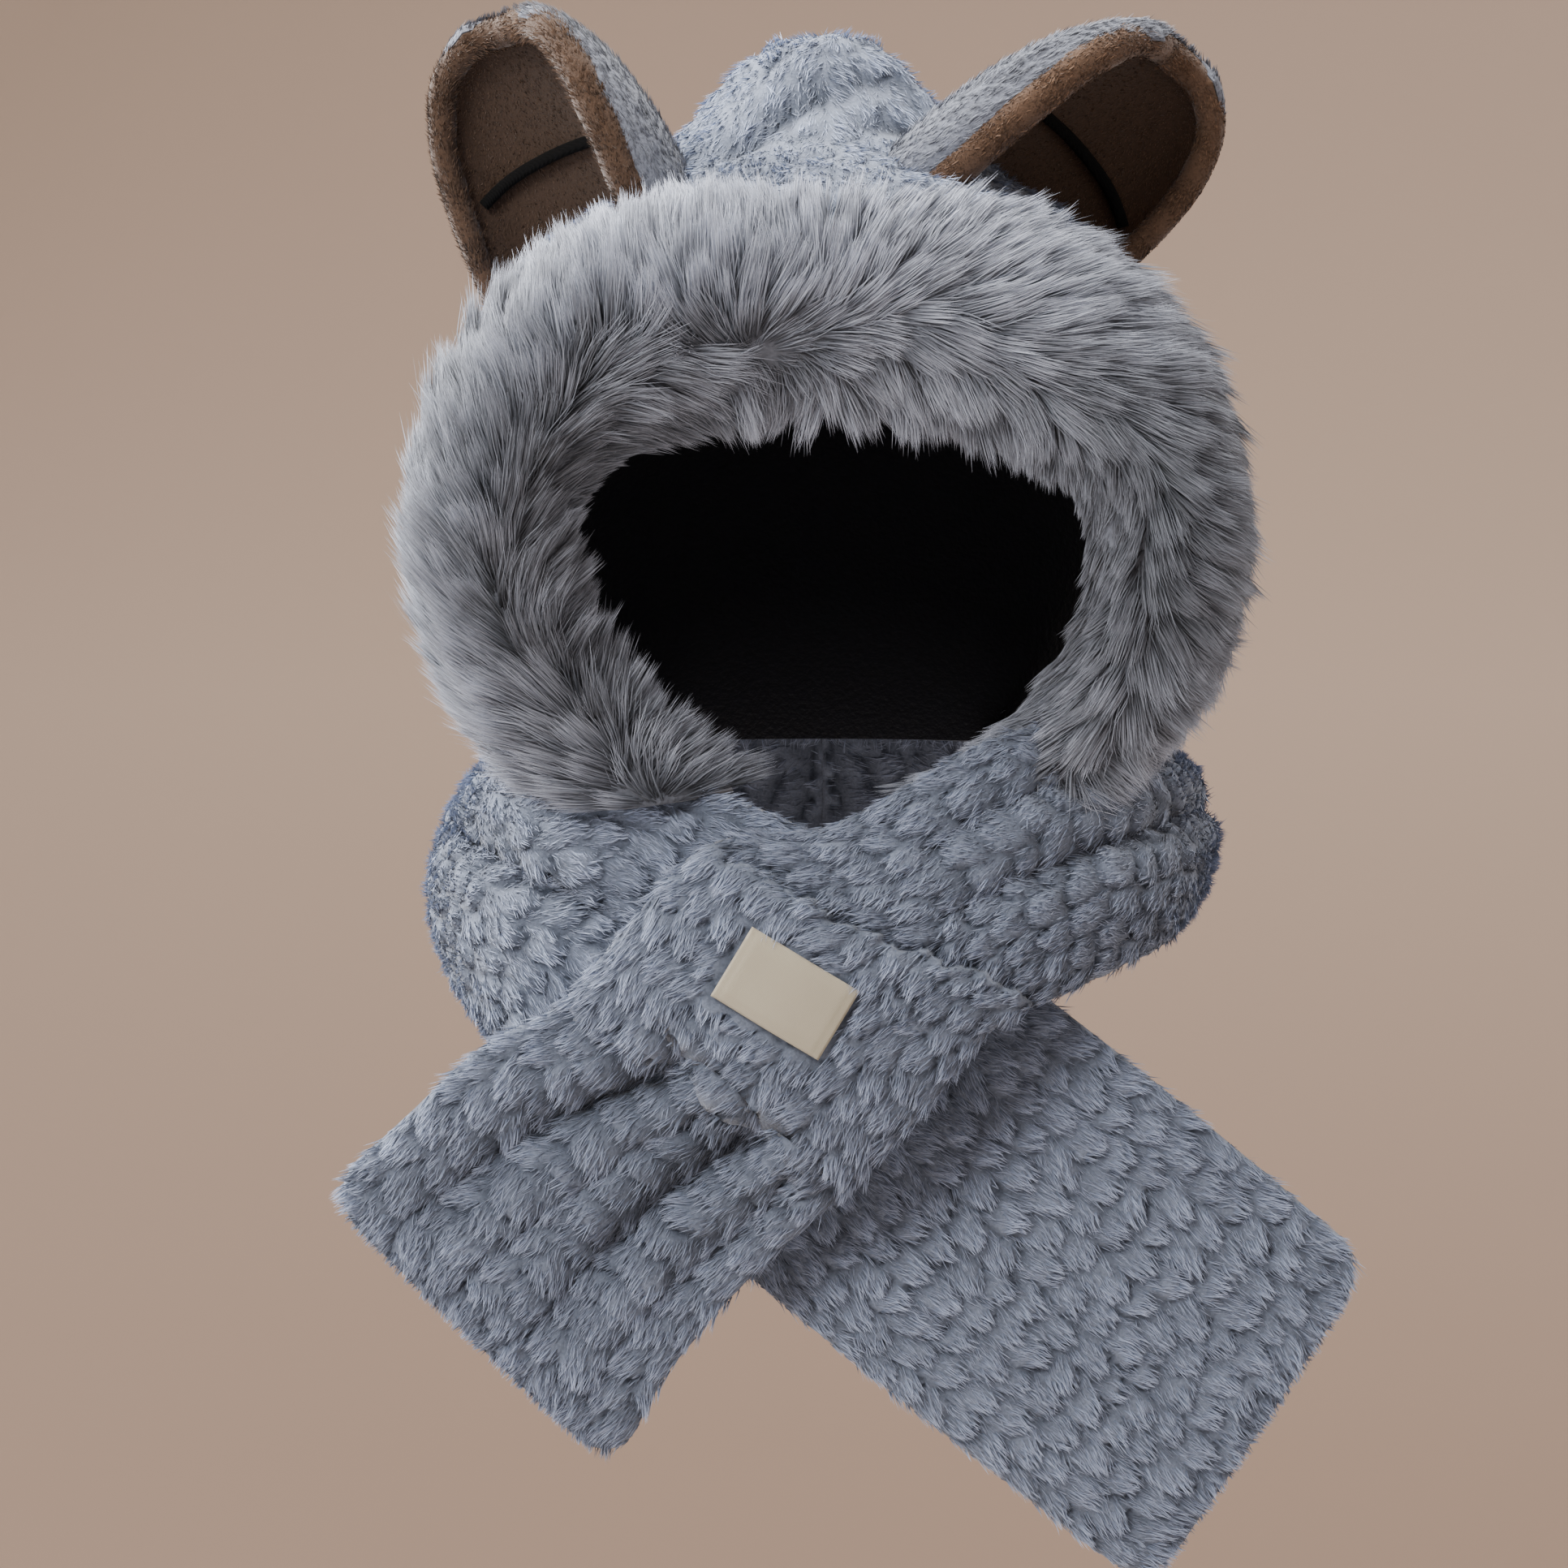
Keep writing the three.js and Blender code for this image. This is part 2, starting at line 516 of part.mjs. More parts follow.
const stripOptions = {
  left: { side: -1, creases: CREASES_LEFT, thickness: SCARF_THICKNESS, steps: 28, ring: 14 },
  right: { side: 1, creases: CREASES_RIGHT, thickness: SCARF_THICKNESS, steps: 32, ring: 14 },
  slit: { side: 1, thickness: SLIT_LAYER, steps: 12, ring: 10 },
};
const scarfLeft = strip(SCARF_LEFT, stripOptions.left);
const scarfRight = strip(SCARF_RIGHT, stripOptions.right);
const scarfGrown = {
  left: strip(SCARF_LEFT, { ...stripOptions.left, grow: SEAM_GAP }),
  right: strip(SCARF_RIGHT, { ...stripOptions.right, grow: SEAM_GAP }),
};

addPiece("hood_shell", hoodShell, "plush");
addPiece("hood_lining", hoodLining, "lining");
const ears = EARS.map((ear) => ({ ear, parts: earParts(ear, hoodGrown) }));
for (const side of [-1, 1]) {
  let trim = furTrim(side);
  trim = trim.subtract(scarfGrown.left).subtract(scarfGrown.right);
  for (const { parts } of ears) trim = trim.subtract(parts.grown);
  addPiece(side < 0 ? "fur_trim_left" : "fur_trim_right", biggest(trim), "fur");
}
for (const { ear, parts } of ears) {
  addPiece(`ear_${ear.name}_plush`, parts.outer, "plush");
  addPiece(`ear_${ear.name}_lining`, parts.lining, "earLining");
  addPiece(`ear_${ear.name}_cord`, solid(parts.cord), "cord");
}
const backSeam = solid(new THREE.BoxGeometry(SEAM_GAP, 60, 300).translate(0, 142, -330));
const cutters = [hoodGrown, hoodShell, hoodLining, backSeam];
const sewn = (body) => biggest(cutters.reduce((rest, cutter) => rest.subtract(cutter), body));
addPiece("scarf_left", sewn(scarfLeft), "plush");
addPiece("scarf_right", sewn(scarfRight), "plush");
const slit = strip(SLIT_ROWS, stripOptions.slit);
addPiece(
  "slit_back",
  sewn(slit.subtract(scarfGrown.left).subtract(scarfGrown.right)),
  "plush",
);
addPiece("label", labelPatch(), "label");

export default group;
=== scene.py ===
"""Looks of the cat ear hooded scarf: tufted plush, long-pile trim, lined ears, label, studio.

Lengths in the tables are millimetres round the same datum as the solids; SEAT carries them to the
seat inside the crown, and MM to metres.
"""

import logging
import math
from collections.abc import Callable
from dataclasses import dataclass, replace
from enum import Enum

import bmesh
import bpy
import numpy as np
from mathutils import Matrix, Vector


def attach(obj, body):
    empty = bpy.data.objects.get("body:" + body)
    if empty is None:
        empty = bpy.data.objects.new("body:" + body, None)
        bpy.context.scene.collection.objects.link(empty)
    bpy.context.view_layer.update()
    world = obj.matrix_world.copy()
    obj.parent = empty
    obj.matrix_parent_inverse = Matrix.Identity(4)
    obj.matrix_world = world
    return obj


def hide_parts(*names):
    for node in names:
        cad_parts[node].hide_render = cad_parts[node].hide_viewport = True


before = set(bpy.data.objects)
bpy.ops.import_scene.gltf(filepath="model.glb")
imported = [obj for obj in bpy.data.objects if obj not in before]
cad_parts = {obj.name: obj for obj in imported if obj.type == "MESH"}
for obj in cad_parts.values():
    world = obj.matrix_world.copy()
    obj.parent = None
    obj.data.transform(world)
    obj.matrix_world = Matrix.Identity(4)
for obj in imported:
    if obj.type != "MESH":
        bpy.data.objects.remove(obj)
# how fine the meshes are
FINE = 1.0

log = logging.getLogger("hooded_scarf")
MM = 0.001
SEAT = np.array([4.0, -14.0, 7.4])
UV_NAME = "OFBake"
STEP = 1e-3
HOOD_WALL = 8.0
LINING_WALL = 2.4
SEAM_GAP = 0.3
TRIM_BACKING = 5.0
TRIM_END = 0.3
PARTING = 0.11
# share along the hood where its tufts turn, and millimetres along and across its cloth
HOOD_TURN, HOOD_ALONG, HOOD_ACROSS = 0.52, 345.0, 350.0
# how deep strands are rooted, how far they bend, and the spread of their lengths and turns
ROOT_DEPTH, STRAND_BEND = 0.2, 0.22
STRAND_LENGTHS, STRAND_TURN = (0.72, 1.12), 0.9
TONE_COLUMNS = 32
# left, bottom, width and height of each face's place in the texture, and the left of its joins
OUTER_BOX, INNER_BOX, WALL_JOINS = (0, 0, 0.7, 1), (0.72, 0, 0.28, 1), 0.703
FRONT_BOX, BACK_BOX, EAR_JOINS = (0, 0, 0.5, 1), (0.52, 0, 0.2, 1), 0.503
ROLL_BOX, ROLL_CAPS = (0.74, 0, 0.24, 1), (0.983, 0.992)
TUBE_BOX, TUBE_CAPS = (0, 0, 0.96, 1), (0.965, 0.98)
SCARF_THICKNESS, FOLD_THICKNESS = 18.0, 8.0
START_ROUND, END_ROUND, CORNER_ROUND = 5.0, 13.0, 17.0
CORD_RADIUS = 2.4
LABEL_ALONG, LABEL_ACROSS, LABEL_TURN = 0.645, 0.47, -31.0
LABEL_HALF = (22.5, 14.5)
LABEL_RISE, LABEL_THICKNESS = 12.3, 0.9

# the stage, in metres
FLOOR_HEIGHT, PAINTED_SHADE_TOP, WALL_TOP = -1.2, -0.45, 3.0
WALL_RADIUS, COVE_RADIUS = 2.8, 1.5
# the floor colour is darker than the wall's: painted shade that evens out the brighter light on the
# lower backdrop
SHADED_FLOOR_COLOUR, WALL_COLOUR = (0.267, 0.181, 0.131), (0.446, 0.327, 0.254)
BOUNCE_COLOUR = (0.405, 0.355, 0.325)
SKY_COLOUR, SKY_STRENGTH = (0.92, 0.95, 1.0), 0.42
WARM, COOL = (1.0, 0.98, 0.95), (0.97, 0.98, 1.0)
LIGHTS_MEET = (0.0, 0.0, -0.25)
# name, place, width in metres, watts, colour
LIGHTS = (
    ("key", (-1.1, -1.5, 1.1), 0.9, 46.0, WARM),
    ("fill", (1.6, -1.4, -0.1), 1.2, 4.5, COOL),
    ("low", (-1.5, -0.9, -0.35), 0.9, 11.0, COOL),
    ("rim_left", (-1.3, 0.4, 0.6), 0.7, 66.0, COOL),
    ("rim_right", (1.3, 0.6, 0.7), 0.7, 15.0, COOL),
    ("top", (-0.2, 0.05, 1.3), 0.8, 44.0, WARM),
)

# y_top, z_top, y_mid, z_mid, half, x_end, y_end, z_end
HOOD_ARCHES = np.array([
    [-100, -132, -108, -190, 99, 36, -90, -284],
    [-117, -104, -120, -189, 119, 58, -107, -286],
    [-105, -72, -110, -188, 140, 86, -103, -285],
    [-66, -50, -67, -186, 153, 108, -70, -283],
    [-20, -42, -20, -185, 158, 114, -22, -282],
    [28, -46, 26, -186, 155, 114, 20, -282],
    [78, -68, 66, -190, 145, 109, 56, -283],
    [118, -112, 100, -202, 126, 99, 84, -284],
    [136, -184, 118, -235, 106, 88, 104, -286],
    [130, -284, 118, -286, 76, 70, 115, -288],
], dtype=float)
# x, y, height, spread_x, spread_y
CROWN_PEAK = (-4.0, 14.0, 46.0, 54.0, 46.0)
# from_x, from_y, to_x, to_y, height, width
CROWN_FOLDS = np.array([
    [6, -6, -58, -40, 5, 9],
    [12, 4, 58, -26, 5, 9],
    [-10, 24, -60, 52, 4, 11],
    [6, 30, 50, 66, 4, 11],
], dtype=float)
# from_x, from_y, to_x, to_y, depth, width
CROWN_CREASES = np.array([
    [-50, -54, 24, -14, 3.4, 4.5],
    [-38, -22, 4, 2, 2.6, 3.5],
    [8, -40, 52, -22, 3.0, 4.0],
    [22, -6, 50, -44, 2.6, 3.5],
    [-10, 34, -56, 60, 3.0, 4.5],
    [10, 40, 58, 72, 3.0, 4.5],
], dtype=float)
# up, outward, half_width, half_depth, outer_turn, inner_turn
EAR_SECTIONS = np.array([
    [-36, -3, 53, 31, 95, 112],
    [0, 0, 53, 30, 95, 116],
    [30, 4, 51, 28.5, 92, 114],
    [51, 7, 46, 25.5, 90, 110],
    [67, 9, 38, 21.5, 88, 104],
    [78, 10, 28, 16.5, 84, 96],
    [85, 10, 16, 10.5, 78, 86],
], dtype=float)
# across, sweep of the outer pile, sweep of the inner pile
SWEEP = np.array([
    [-1.0, 0.02, 0.15],
    [-0.93, 0.3, 0.4],
    [-0.8, 0.7, 0.9],
    [-0.5, 0.7, 1.4],
    [-0.28, 0.05, 0.8],
    [-0.1, 0.0, 0.1],
    [-0.01, 0.15, -0.12],
    [0.01, 0.25, 0.14],
    [0.1, 0.6, 0.3],
    [0.3, 1.1, 0.6],
    [0.5, 1.0, 1.3],
    [0.75, 0.8, 1.4],
    [1.0, 0.7, 0.9],
])
# up, turn
EAR_CORD = np.array([[18, -72], [25, -50], [29, -28], [32, -4], [32, 18]], dtype=float)
# upper x, y, z, lower x, y, z, belly
SCARF_LEFT = np.array([
    [0, 135, -270, 0, 144, -396, 16],
    [-58, 126, -270, -64, 134, -396, 18],
    [-101, 91, -270, -110, 96, -394, 20],
    [-116, 34, -271, -126, 34, -390, 26],
    [-116, -26, -272, -123, -32, -386, 27],
    [-95, -78, -274, -117, -72, -392, 17],
    [-52, -98, -280, -100, -92, -410, 10],
    [-4, -104, -298, -66, -104, -432, 5],
    [40, -106, -327, -42, -108, -453, 3],
    [80, -106, -358, -14, -108, -477, 3],
    [122, -106, -391, 26, -108, -510, 3],
    [163, -105, -425, 71, -107, -546, 3],
    [203, -104, -459, 121, -106, -585, 2],
], dtype=float)
SCARF_RIGHT = np.array([
    [0, 135, -270, 0, 144, -396, 16],
    [58, 126, -270, 64, 134, -391, 18],
    [101, 91, -270, 112, 96, -376, 20],
    [115, 34, -270, 130, 34, -354, 22],
    [113, -24, -268, 134, -34, -338, 20],
    [96, -80, -258, 121, -88, -342, 14],
    [58, -112, -262, 86, -124, -354, 8],
    [2, -128, -291, 60, -138, -364, 6],
    [-44, -134, -298, 40, -142, -387, 7],
    [-74, -134, -328, 16, -140, -414, 8],
    [-99, -130, -357, -8, -134, -438, 6],
    [-127, -127, -373, -31, -129, -461, 4],
    [-155, -125, -399, -58, -127, -493, 3],
    [-187, -124, -429, -80, -126, -533, 2],
], dtype=float)
SLIT_ROWS = np.array([
    [84, -96, -276, 104, -100, -338, 0],
    [50, -84, -288, 84, -88, -354, 0],
    [10, -82, -310, 58, -84, -376, 0],
    [-30, -78, -340, 26, -82, -406, 0],
    [-60, -80, -368, 0, -84, -432, 0],
    [-84, -96, -394, -26, -98, -458, 0],
    [-98, -111, -410, -50, -112, -474, 0],
], dtype=float)
# from, to, across_from, across_to, depth, width, skew towards the start
CREASES_LEFT = np.array([
    [0.3, 0.52, 0.3, 0.42, 7, 0.07, 1],
    [0.02, 0.2, 0.45, 0.55, 4, 0.1, 1],
])
CREASES_RIGHT = np.array([
    [0.2, 0.53, 0.5, 0.52, 12, 0.065, 1],
    [0.28, 0.52, 0.24, 0.26, 7, 0.05, 1],
    [0.71, 0.99, 0.39, 0.2, 15, 0.075, 0.42],
    [0.71, 0.98, 0.68, 0.63, 15, 0.075, 0.42],
    [0.73, 0.99, 0.54, 0.42, 6, 0.05, 0.5],
    [0.74, 0.98, 0.86, 0.85, 5, 0.05, 0.5],
])
# across, upper edge, lower edge, of the layer that laps over the band at the crossing
LAYER_EDGES = np.array([
    [-1.0, 0.615, 0.768],
    [-0.6, 0.598, 0.756],
    [-0.24, 0.583, 0.742],
    [0.18, 0.555, 0.741],
    [0.63, 0.519, 0.733],
    [1.0, 0.495, 0.722],
])


class Side(Enum):
    """A side of the object as seen from the front."""

    LEFT = -1
    RIGHT = 1


@dataclass(frozen=True)
class PileFinish:
    """Colours of a pile, linear, from its roots to its tips."""

    root: tuple[float, float, float]
    middle: tuple[float, float, float]
    tip: tuple[float, float, float]
    roughness: float
    sheen: float


@dataclass(frozen=True)
class ClothFinish:
    """Colours of the cloth under a pile, linear, and the scale of its grain."""

    groove: tuple[float, float, float]
    crest: tuple[float, float, float]
    roughness: float
    grain: float
    bump: float


@dataclass(frozen=True)
class PileSpec:
    """How a pile grows: how many strands, their size in millimetres and their habit."""

    count: int
    length: float
    width: float
    segments: int
    spread: float
    clump: float
    pull: float
    swing: float
    tones: float
    seed: int


PLUSH_PILE = PileFinish(
    root=(0.10, 0.128, 0.19), middle=(0.268, 0.316, 0.437), tip=(0.46, 0.515, 0.665),
    roughness=0.65, sheen=0.3,
)
FUR_PILE = PileFinish(
    root=(0.037, 0.04, 0.05), middle=(0.137, 0.15, 0.185), tip=(0.465, 0.495, 0.585),
    roughness=0.55, sheen=0.25,
)
EAR_PILE = PileFinish(
    root=(0.105, 0.114, 0.14), middle=(0.17, 0.182, 0.222), tip=(0.3, 0.318, 0.375),
    roughness=0.65, sheen=0.3,
)
VELOUR_PILE = PileFinish(
    root=(0.05, 0.027, 0.0155), middle=(0.14, 0.079, 0.046), tip=(0.25, 0.148, 0.09),
    roughness=0.75, sheen=0.2,
)
# groove, crest, roughness, grain, bump; the groove colour shows where the tone is low, painted
# shade in the plush's grooves and folds
PLUSH_CLOTH = ClothFinish((0.026, 0.034, 0.052), (0.24, 0.278, 0.365), 0.9, 900.0, 0.5)
EAR_CLOTH = ClothFinish((0.12, 0.13, 0.16), (0.17, 0.183, 0.225), 0.9, 900.0, 0.5)
FUR_CLOTH = ClothFinish((0.05, 0.053, 0.065), (0.13, 0.14, 0.17), 0.95, 500.0, 0.5)
VELOUR_CLOTH = ClothFinish((0.03, 0.0165, 0.0098), (0.11, 0.062, 0.037), 0.9, 1200.0, 0.4)
FLEECE_CLOTH = ClothFinish((0.002, 0.0025, 0.005), (0.008, 0.010, 0.018), 0.95, 500.0, 0.8)
CORD_COLOUR = (0.003, 0.0027, 0.0027)
TAPE_COLOURS = ((0.40, 0.35, 0.26), (0.58, 0.53, 0.41))
# where a strand shows its middle colour, and the range of its tones
STRAND_MIDDLE = 0.45
STRAND_TONES = (0.45, 1.45)

PLUSH_HABIT = PileSpec(
    count=95000, length=6.4, width=0.56, segments=1, spread=0.18, clump=3.0, pull=0.46,
    swing=0.17, tones=0.2, seed=31,
)
HOOD_STRANDS, FOLD_STRANDS = 82000, 14000
FUR_HABIT = PileSpec(
    count=52500, length=29.0, width=0.62, segments=2, spread=0.15, clump=8.0, pull=0.58,
    swing=0.16, tones=0.26, seed=23,
)
EAR_HABIT = PileSpec(
    count=20000, length=5.0, width=0.66, segments=1, spread=0.24, clump=3.6, pull=0.5,
    swing=0.11, tones=0.3, seed=70,
)
VELOUR_HABIT = PileSpec(
    count=13000, length=2.4, width=0.6, segments=1, spread=0.4, clump=1.8, pull=0.3,
    swing=0.15, tones=0.12, seed=75,
)
ROLL_HABIT = PileSpec(
    count=15000, length=3.0, width=0.6, segments=1, spread=0.45, clump=2.2, pull=0.4,
    swing=0.18, tones=0.18, seed=79,
)


def smooth(rows: np.ndarray, share: np.ndarray) -> np.ndarray:
    """Smooth values from a table's rows.

    Args:
        rows: the table, one row per station.
        share: places along the rows, from 0 to 1.

    Returns:
        One row of values per place.
    """
    last = len(rows) - 1
    share = np.atleast_1d(np.asarray(share, dtype=float))
    i = np.clip(np.floor(share * last).astype(int), 0, last - 1)
    f = (share * last - i)[:, None]
    padded = np.vstack([2 * rows[:1] - rows[1:2], rows, 2 * rows[-1:] - rows[-2:-1]])
    p0, p1, p2, p3 = (padded[i + k] for k in range(4))
    cubic = 3 * p1 - p0 - 3 * p2 + p3
    return 0.5 * (2 * p1 + f * (p2 - p0 + f * (2 * p0 - 5 * p1 + 4 * p2 - p3 + f * cubic)))


def unit(vectors: np.ndarray) -> np.ndarray:
    """Vectors scaled to length one."""
    return vectors / np.maximum(np.linalg.norm(vectors, axis=-1, keepdims=True), 1e-9)


def bell(
    place: np.ndarray | float, middle: np.ndarray | float, width: float
) -> np.ndarray | float:
    """A soft bump: 1 at its middle, falling to 0 on both sides."""
    return np.exp(-(((place - middle) / width) ** 2))


def eased(share: np.ndarray) -> np.ndarray:
    """A share that starts and ends softly."""
    return share * share * (3 - 2 * share)


def beside_line(x: np.ndarray, y: np.ndarray, line: list[float]) -> tuple:
    """Where places lie beside a line, seen from above.

    Args:
        x: places across the hood.
        y: places along it.
        line: the line's ends, as from_x, from_y, to_x, to_y.

    Returns:
        The share along the line, and the millimetres off it.
    """
    from_x, from_y, to_x, to_y = line
    dx, dy = to_x - from_x, to_y - from_y
    length = math.hypot(dx, dy)
    along = ((x - from_x) * dx + (y - from_y) * dy) / length**2
    return along, ((x - from_x) * dy - (y - from_y) * dx) / length


def crossed(along: np.ndarray, across: np.ndarray) -> tuple[np.ndarray, ...]:
    """Every pair of two lists of shares."""
    return tuple(part.ravel() for part in np.meshgrid(along, across, indexing="ij"))


class Surface:
    """A smooth face, as a function of two shares."""

    flip = 1.0
    low_u, high_u = STEP, 1 - STEP
    low_v, high_v = -0.97, 0.97

    def point(self, u: np.ndarray, v: np.ndarray) -> np.ndarray:
        """Points of the face."""
        raise NotImplementedError

    def slopes(self, u: np.ndarray, v: np.ndarray) -> tuple[np.ndarray, np.ndarray]:
        """Unit directions along and across the face.

        Args:
            u: shares along the face.
            v: shares across it.

        Returns:
            The direction of growing u and of growing v, one per pair.
        """
        u = np.clip(u, self.low_u, self.high_u)
        v = np.clip(v, self.low_v, self.high_v)
        along = self.point(u + STEP, v) - self.point(u - STEP, v)
        across = self.point(u, v + STEP) - self.point(u, v - STEP)
        return unit(along), unit(across)

    def normal(self, u: np.ndarray, v: np.ndarray) -> np.ndarray:
        """Outward unit normals."""
        along, across = self.slopes(u, v)
        return unit(np.cross(across, along)) * self.flip

    def raised(self, u: np.ndarray, v: np.ndarray, rise: np.ndarray | float) -> np.ndarray:
        """Points at a height over the face."""
        return self.point(u, v) + self.normal(u, v) * np.reshape(rise, (-1, 1))


class Hood(Surface):
    """Outer face of the hood: u from the rim to the nape, v from the left end to the right."""

    high_u = 0.95
    low_v, high_v = -0.95, 0.95

    def point(self, u: np.ndarray, v: np.ndarray) -> np.ndarray:
        """Points of the hood's outer face.

        Args:
            u: shares along the face.
            v: shares across it.

        Returns:
            One point per pair, in millimetres round the datum.
        """
        row = smooth(HOOD_ARCHES, u)
        y_top, z_top, y_mid, z_mid, half, x_end, y_end, z_end = row.T
        end_turn = math.pi - np.arcsin(np.minimum(x_end / half, 0.999))
        turn = v * end_turn
        cosine = np.cos(turn)
        upper = cosine >= 0
        share = np.where(upper, cosine, cosine / np.cos(end_turn))
        x = half * np.sin(turn)
        y = y_mid + np.where(upper, y_top - y_mid, y_end - y_mid) * share
        z = z_mid + np.where(upper, z_top - z_mid, z_end - z_mid) * share
        z = z + np.where(upper, self.crown(x, y), 0.0)
        return np.stack([x, y, z], axis=-1)

    @staticmethod
    def crown(x: np.ndarray, y: np.ndarray) -> np.ndarray:
        """Height of the crown's peak and of the folds that run down from it.

        Args:
            x: places across the hood.
            y: places along it.

        Returns:
            The added height at each place.
        """
        peak_x, peak_y, height, spread_x, spread_y = CROWN_PEAK
        squared = ((x - peak_x) / spread_x) ** 2 + ((y - peak_y) / spread_y) ** 2
        total = height * np.exp(-(squared**1.35))
        for *line, rise, width in CROWN_FOLDS:
            along, off = beside_line(x, y, line)
            fade = np.sin(math.pi * np.clip(along * 0.8 + 0.1, 0, 1))
            total = total + rise * fade * bell(off, 0, width)
        return total


class Strip(Surface):
    """Middle face of a scarf strip: u along it, v from its upper edge to its lower edge."""

    def __init__(self, rows: np.ndarray, side: Side, creases: np.ndarray | None = None) -> None:
        """A strip from its rows.

        Args:
            rows: both edges and the belly, one row per station.
            side: the side that the strip goes round.
            creases: creases pressed into its outer face.
        """
        self.rows = rows
        self.side = side.value
        self.flip = -float(side.value)
        self.creases = creases if creases is not None else np.zeros((0, 7))
        shares = np.linspace(0, 1, 400)
        middle = smooth(rows, shares)
        centre = (middle[:, 0:3] + middle[:, 3:6]) / 2
        steps = np.linalg.norm(np.diff(centre, axis=0), axis=1)
        self.shares = shares
        self.lengths = np.concatenate([[0], np.cumsum(steps)])
        self.width = float(np.linalg.norm(middle[:, 0:3] - middle[:, 3:6], axis=1).mean())

    def point(self, u: np.ndarray, v: np.ndarray) -> np.ndarray:
        """Points of the strip's middle face.

        Args:
            u: shares along the face.
            v: shares across it.

        Returns:
            One point per pair, in millimetres round the datum.
        """
        row = smooth(self.rows, u)
        ahead = smooth(self.rows, np.minimum(u + STEP, 1))
        behind = smooth(self.rows, np.maximum(u - STEP, 0))
        upper, lower, belly = row[:, 0:3], row[:, 3:6], row[:, 6]
        travel = (ahead - behind)[:, 0:3] + (ahead - behind)[:, 3:6]
        outward = unit(np.cross(travel, lower - upper)) * self.side
        across = (v + 1) / 2
        rise = belly * (1 - v**2) - self.creased(u, v)
        return upper + (lower - upper) * across[:, None] + outward * rise[:, None]

    def creased(self, u: np.ndarray, v: np.ndarray) -> np.ndarray:
        """Depth of the creases.

        Args:
            u: shares along the strip.
            v: shares across it.

        Returns:
            Millimetres, one per place.
        """
        across = (v + 1) / 2
        total = np.zeros(len(u))
        for start, end, across_from, across_to, depth, width, skew in self.creases:
            share = np.clip((u - start) / (end - start), 0, 1)
            middle = across_from + (across_to - across_from) * share
            fade = np.abs(np.sin(math.pi * share**skew)) ** 0.7
            total = total + depth * fade * bell(across, middle, width)
        return total

    def travelled(self, u: np.ndarray) -> np.ndarray:
        """Length along the strip at a share."""
        return np.interp(u, self.shares, self.lengths)


@dataclass(frozen=True)
class EarPlace:
    """Where an ear stands on the crown and how it leans, in millimetres and degrees."""

    name: str
    side: Side
    base: tuple[float, float, float]
    lean: float
    pitch: float
    yaw: float


EARS = (
    EarPlace("left", Side.LEFT, (-97, -26, -75), 17.5, 7.5, 38),
    EarPlace("right", Side.RIGHT, (73.5, -27, -66.5), 42.5, 18, 25.5),
)


class Ear(Surface):
    """The face where an ear's plush and lining meet: u up the ear, v round its cup."""

    low_v, high_v = STEP, 1 - STEP

    def __init__(self, place: EarPlace) -> None:
        """An ear at its place.

        Args:
            place: where it stands and how it leans.
        """
        side = place.side.value
        turn = (
            Matrix.Rotation(math.radians(place.pitch), 3, "X")
            @ Matrix.Rotation(math.radians(side * place.lean), 3, "Y")
            @ Matrix.Rotation(math.radians(side * place.yaw), 3, "Z")
        )
        self.flip = float(side)
        self.base = np.array(place.base, dtype=float)
        self.across = np.array(turn @ Vector((-side, 0, 0)))
        self.up = np.array(turn @ Vector((0, 0, 1)))
        self.front = np.array(turn @ Vector((0, -1, 0)))

    def point(self, u: np.ndarray, v: np.ndarray) -> np.ndarray:
        """Points of the ear's middle face.

        Args:
            u: shares along the face.
            v: shares across it.

        Returns:
            One point per pair, in millimetres round the datum.
        """
        up, outward, half_width, half_depth, outer, inner = smooth(EAR_SECTIONS, u).T
        turn = np.radians(-outer + (inner + outer) * v)
        return (
            self.base
            + up[:, None] * self.up
            + (half_width * np.sin(turn) - outward)[:, None] * self.across
            - (half_depth * np.cos(turn))[:, None] * self.front
        )

    def cup_depth(self, u: np.ndarray) -> np.ndarray:
        """Thickness of the lining up the ear."""
        return np.minimum(6.0, 0.7 * smooth(EAR_SECTIONS, u)[:, 3])


def chance(number: np.ndarray) -> np.ndarray:
    """A fixed random value for a whole number."""
    return np.modf(np.abs(np.sin(number * 12.9898 + 4.1) * 43758.5453))[0]


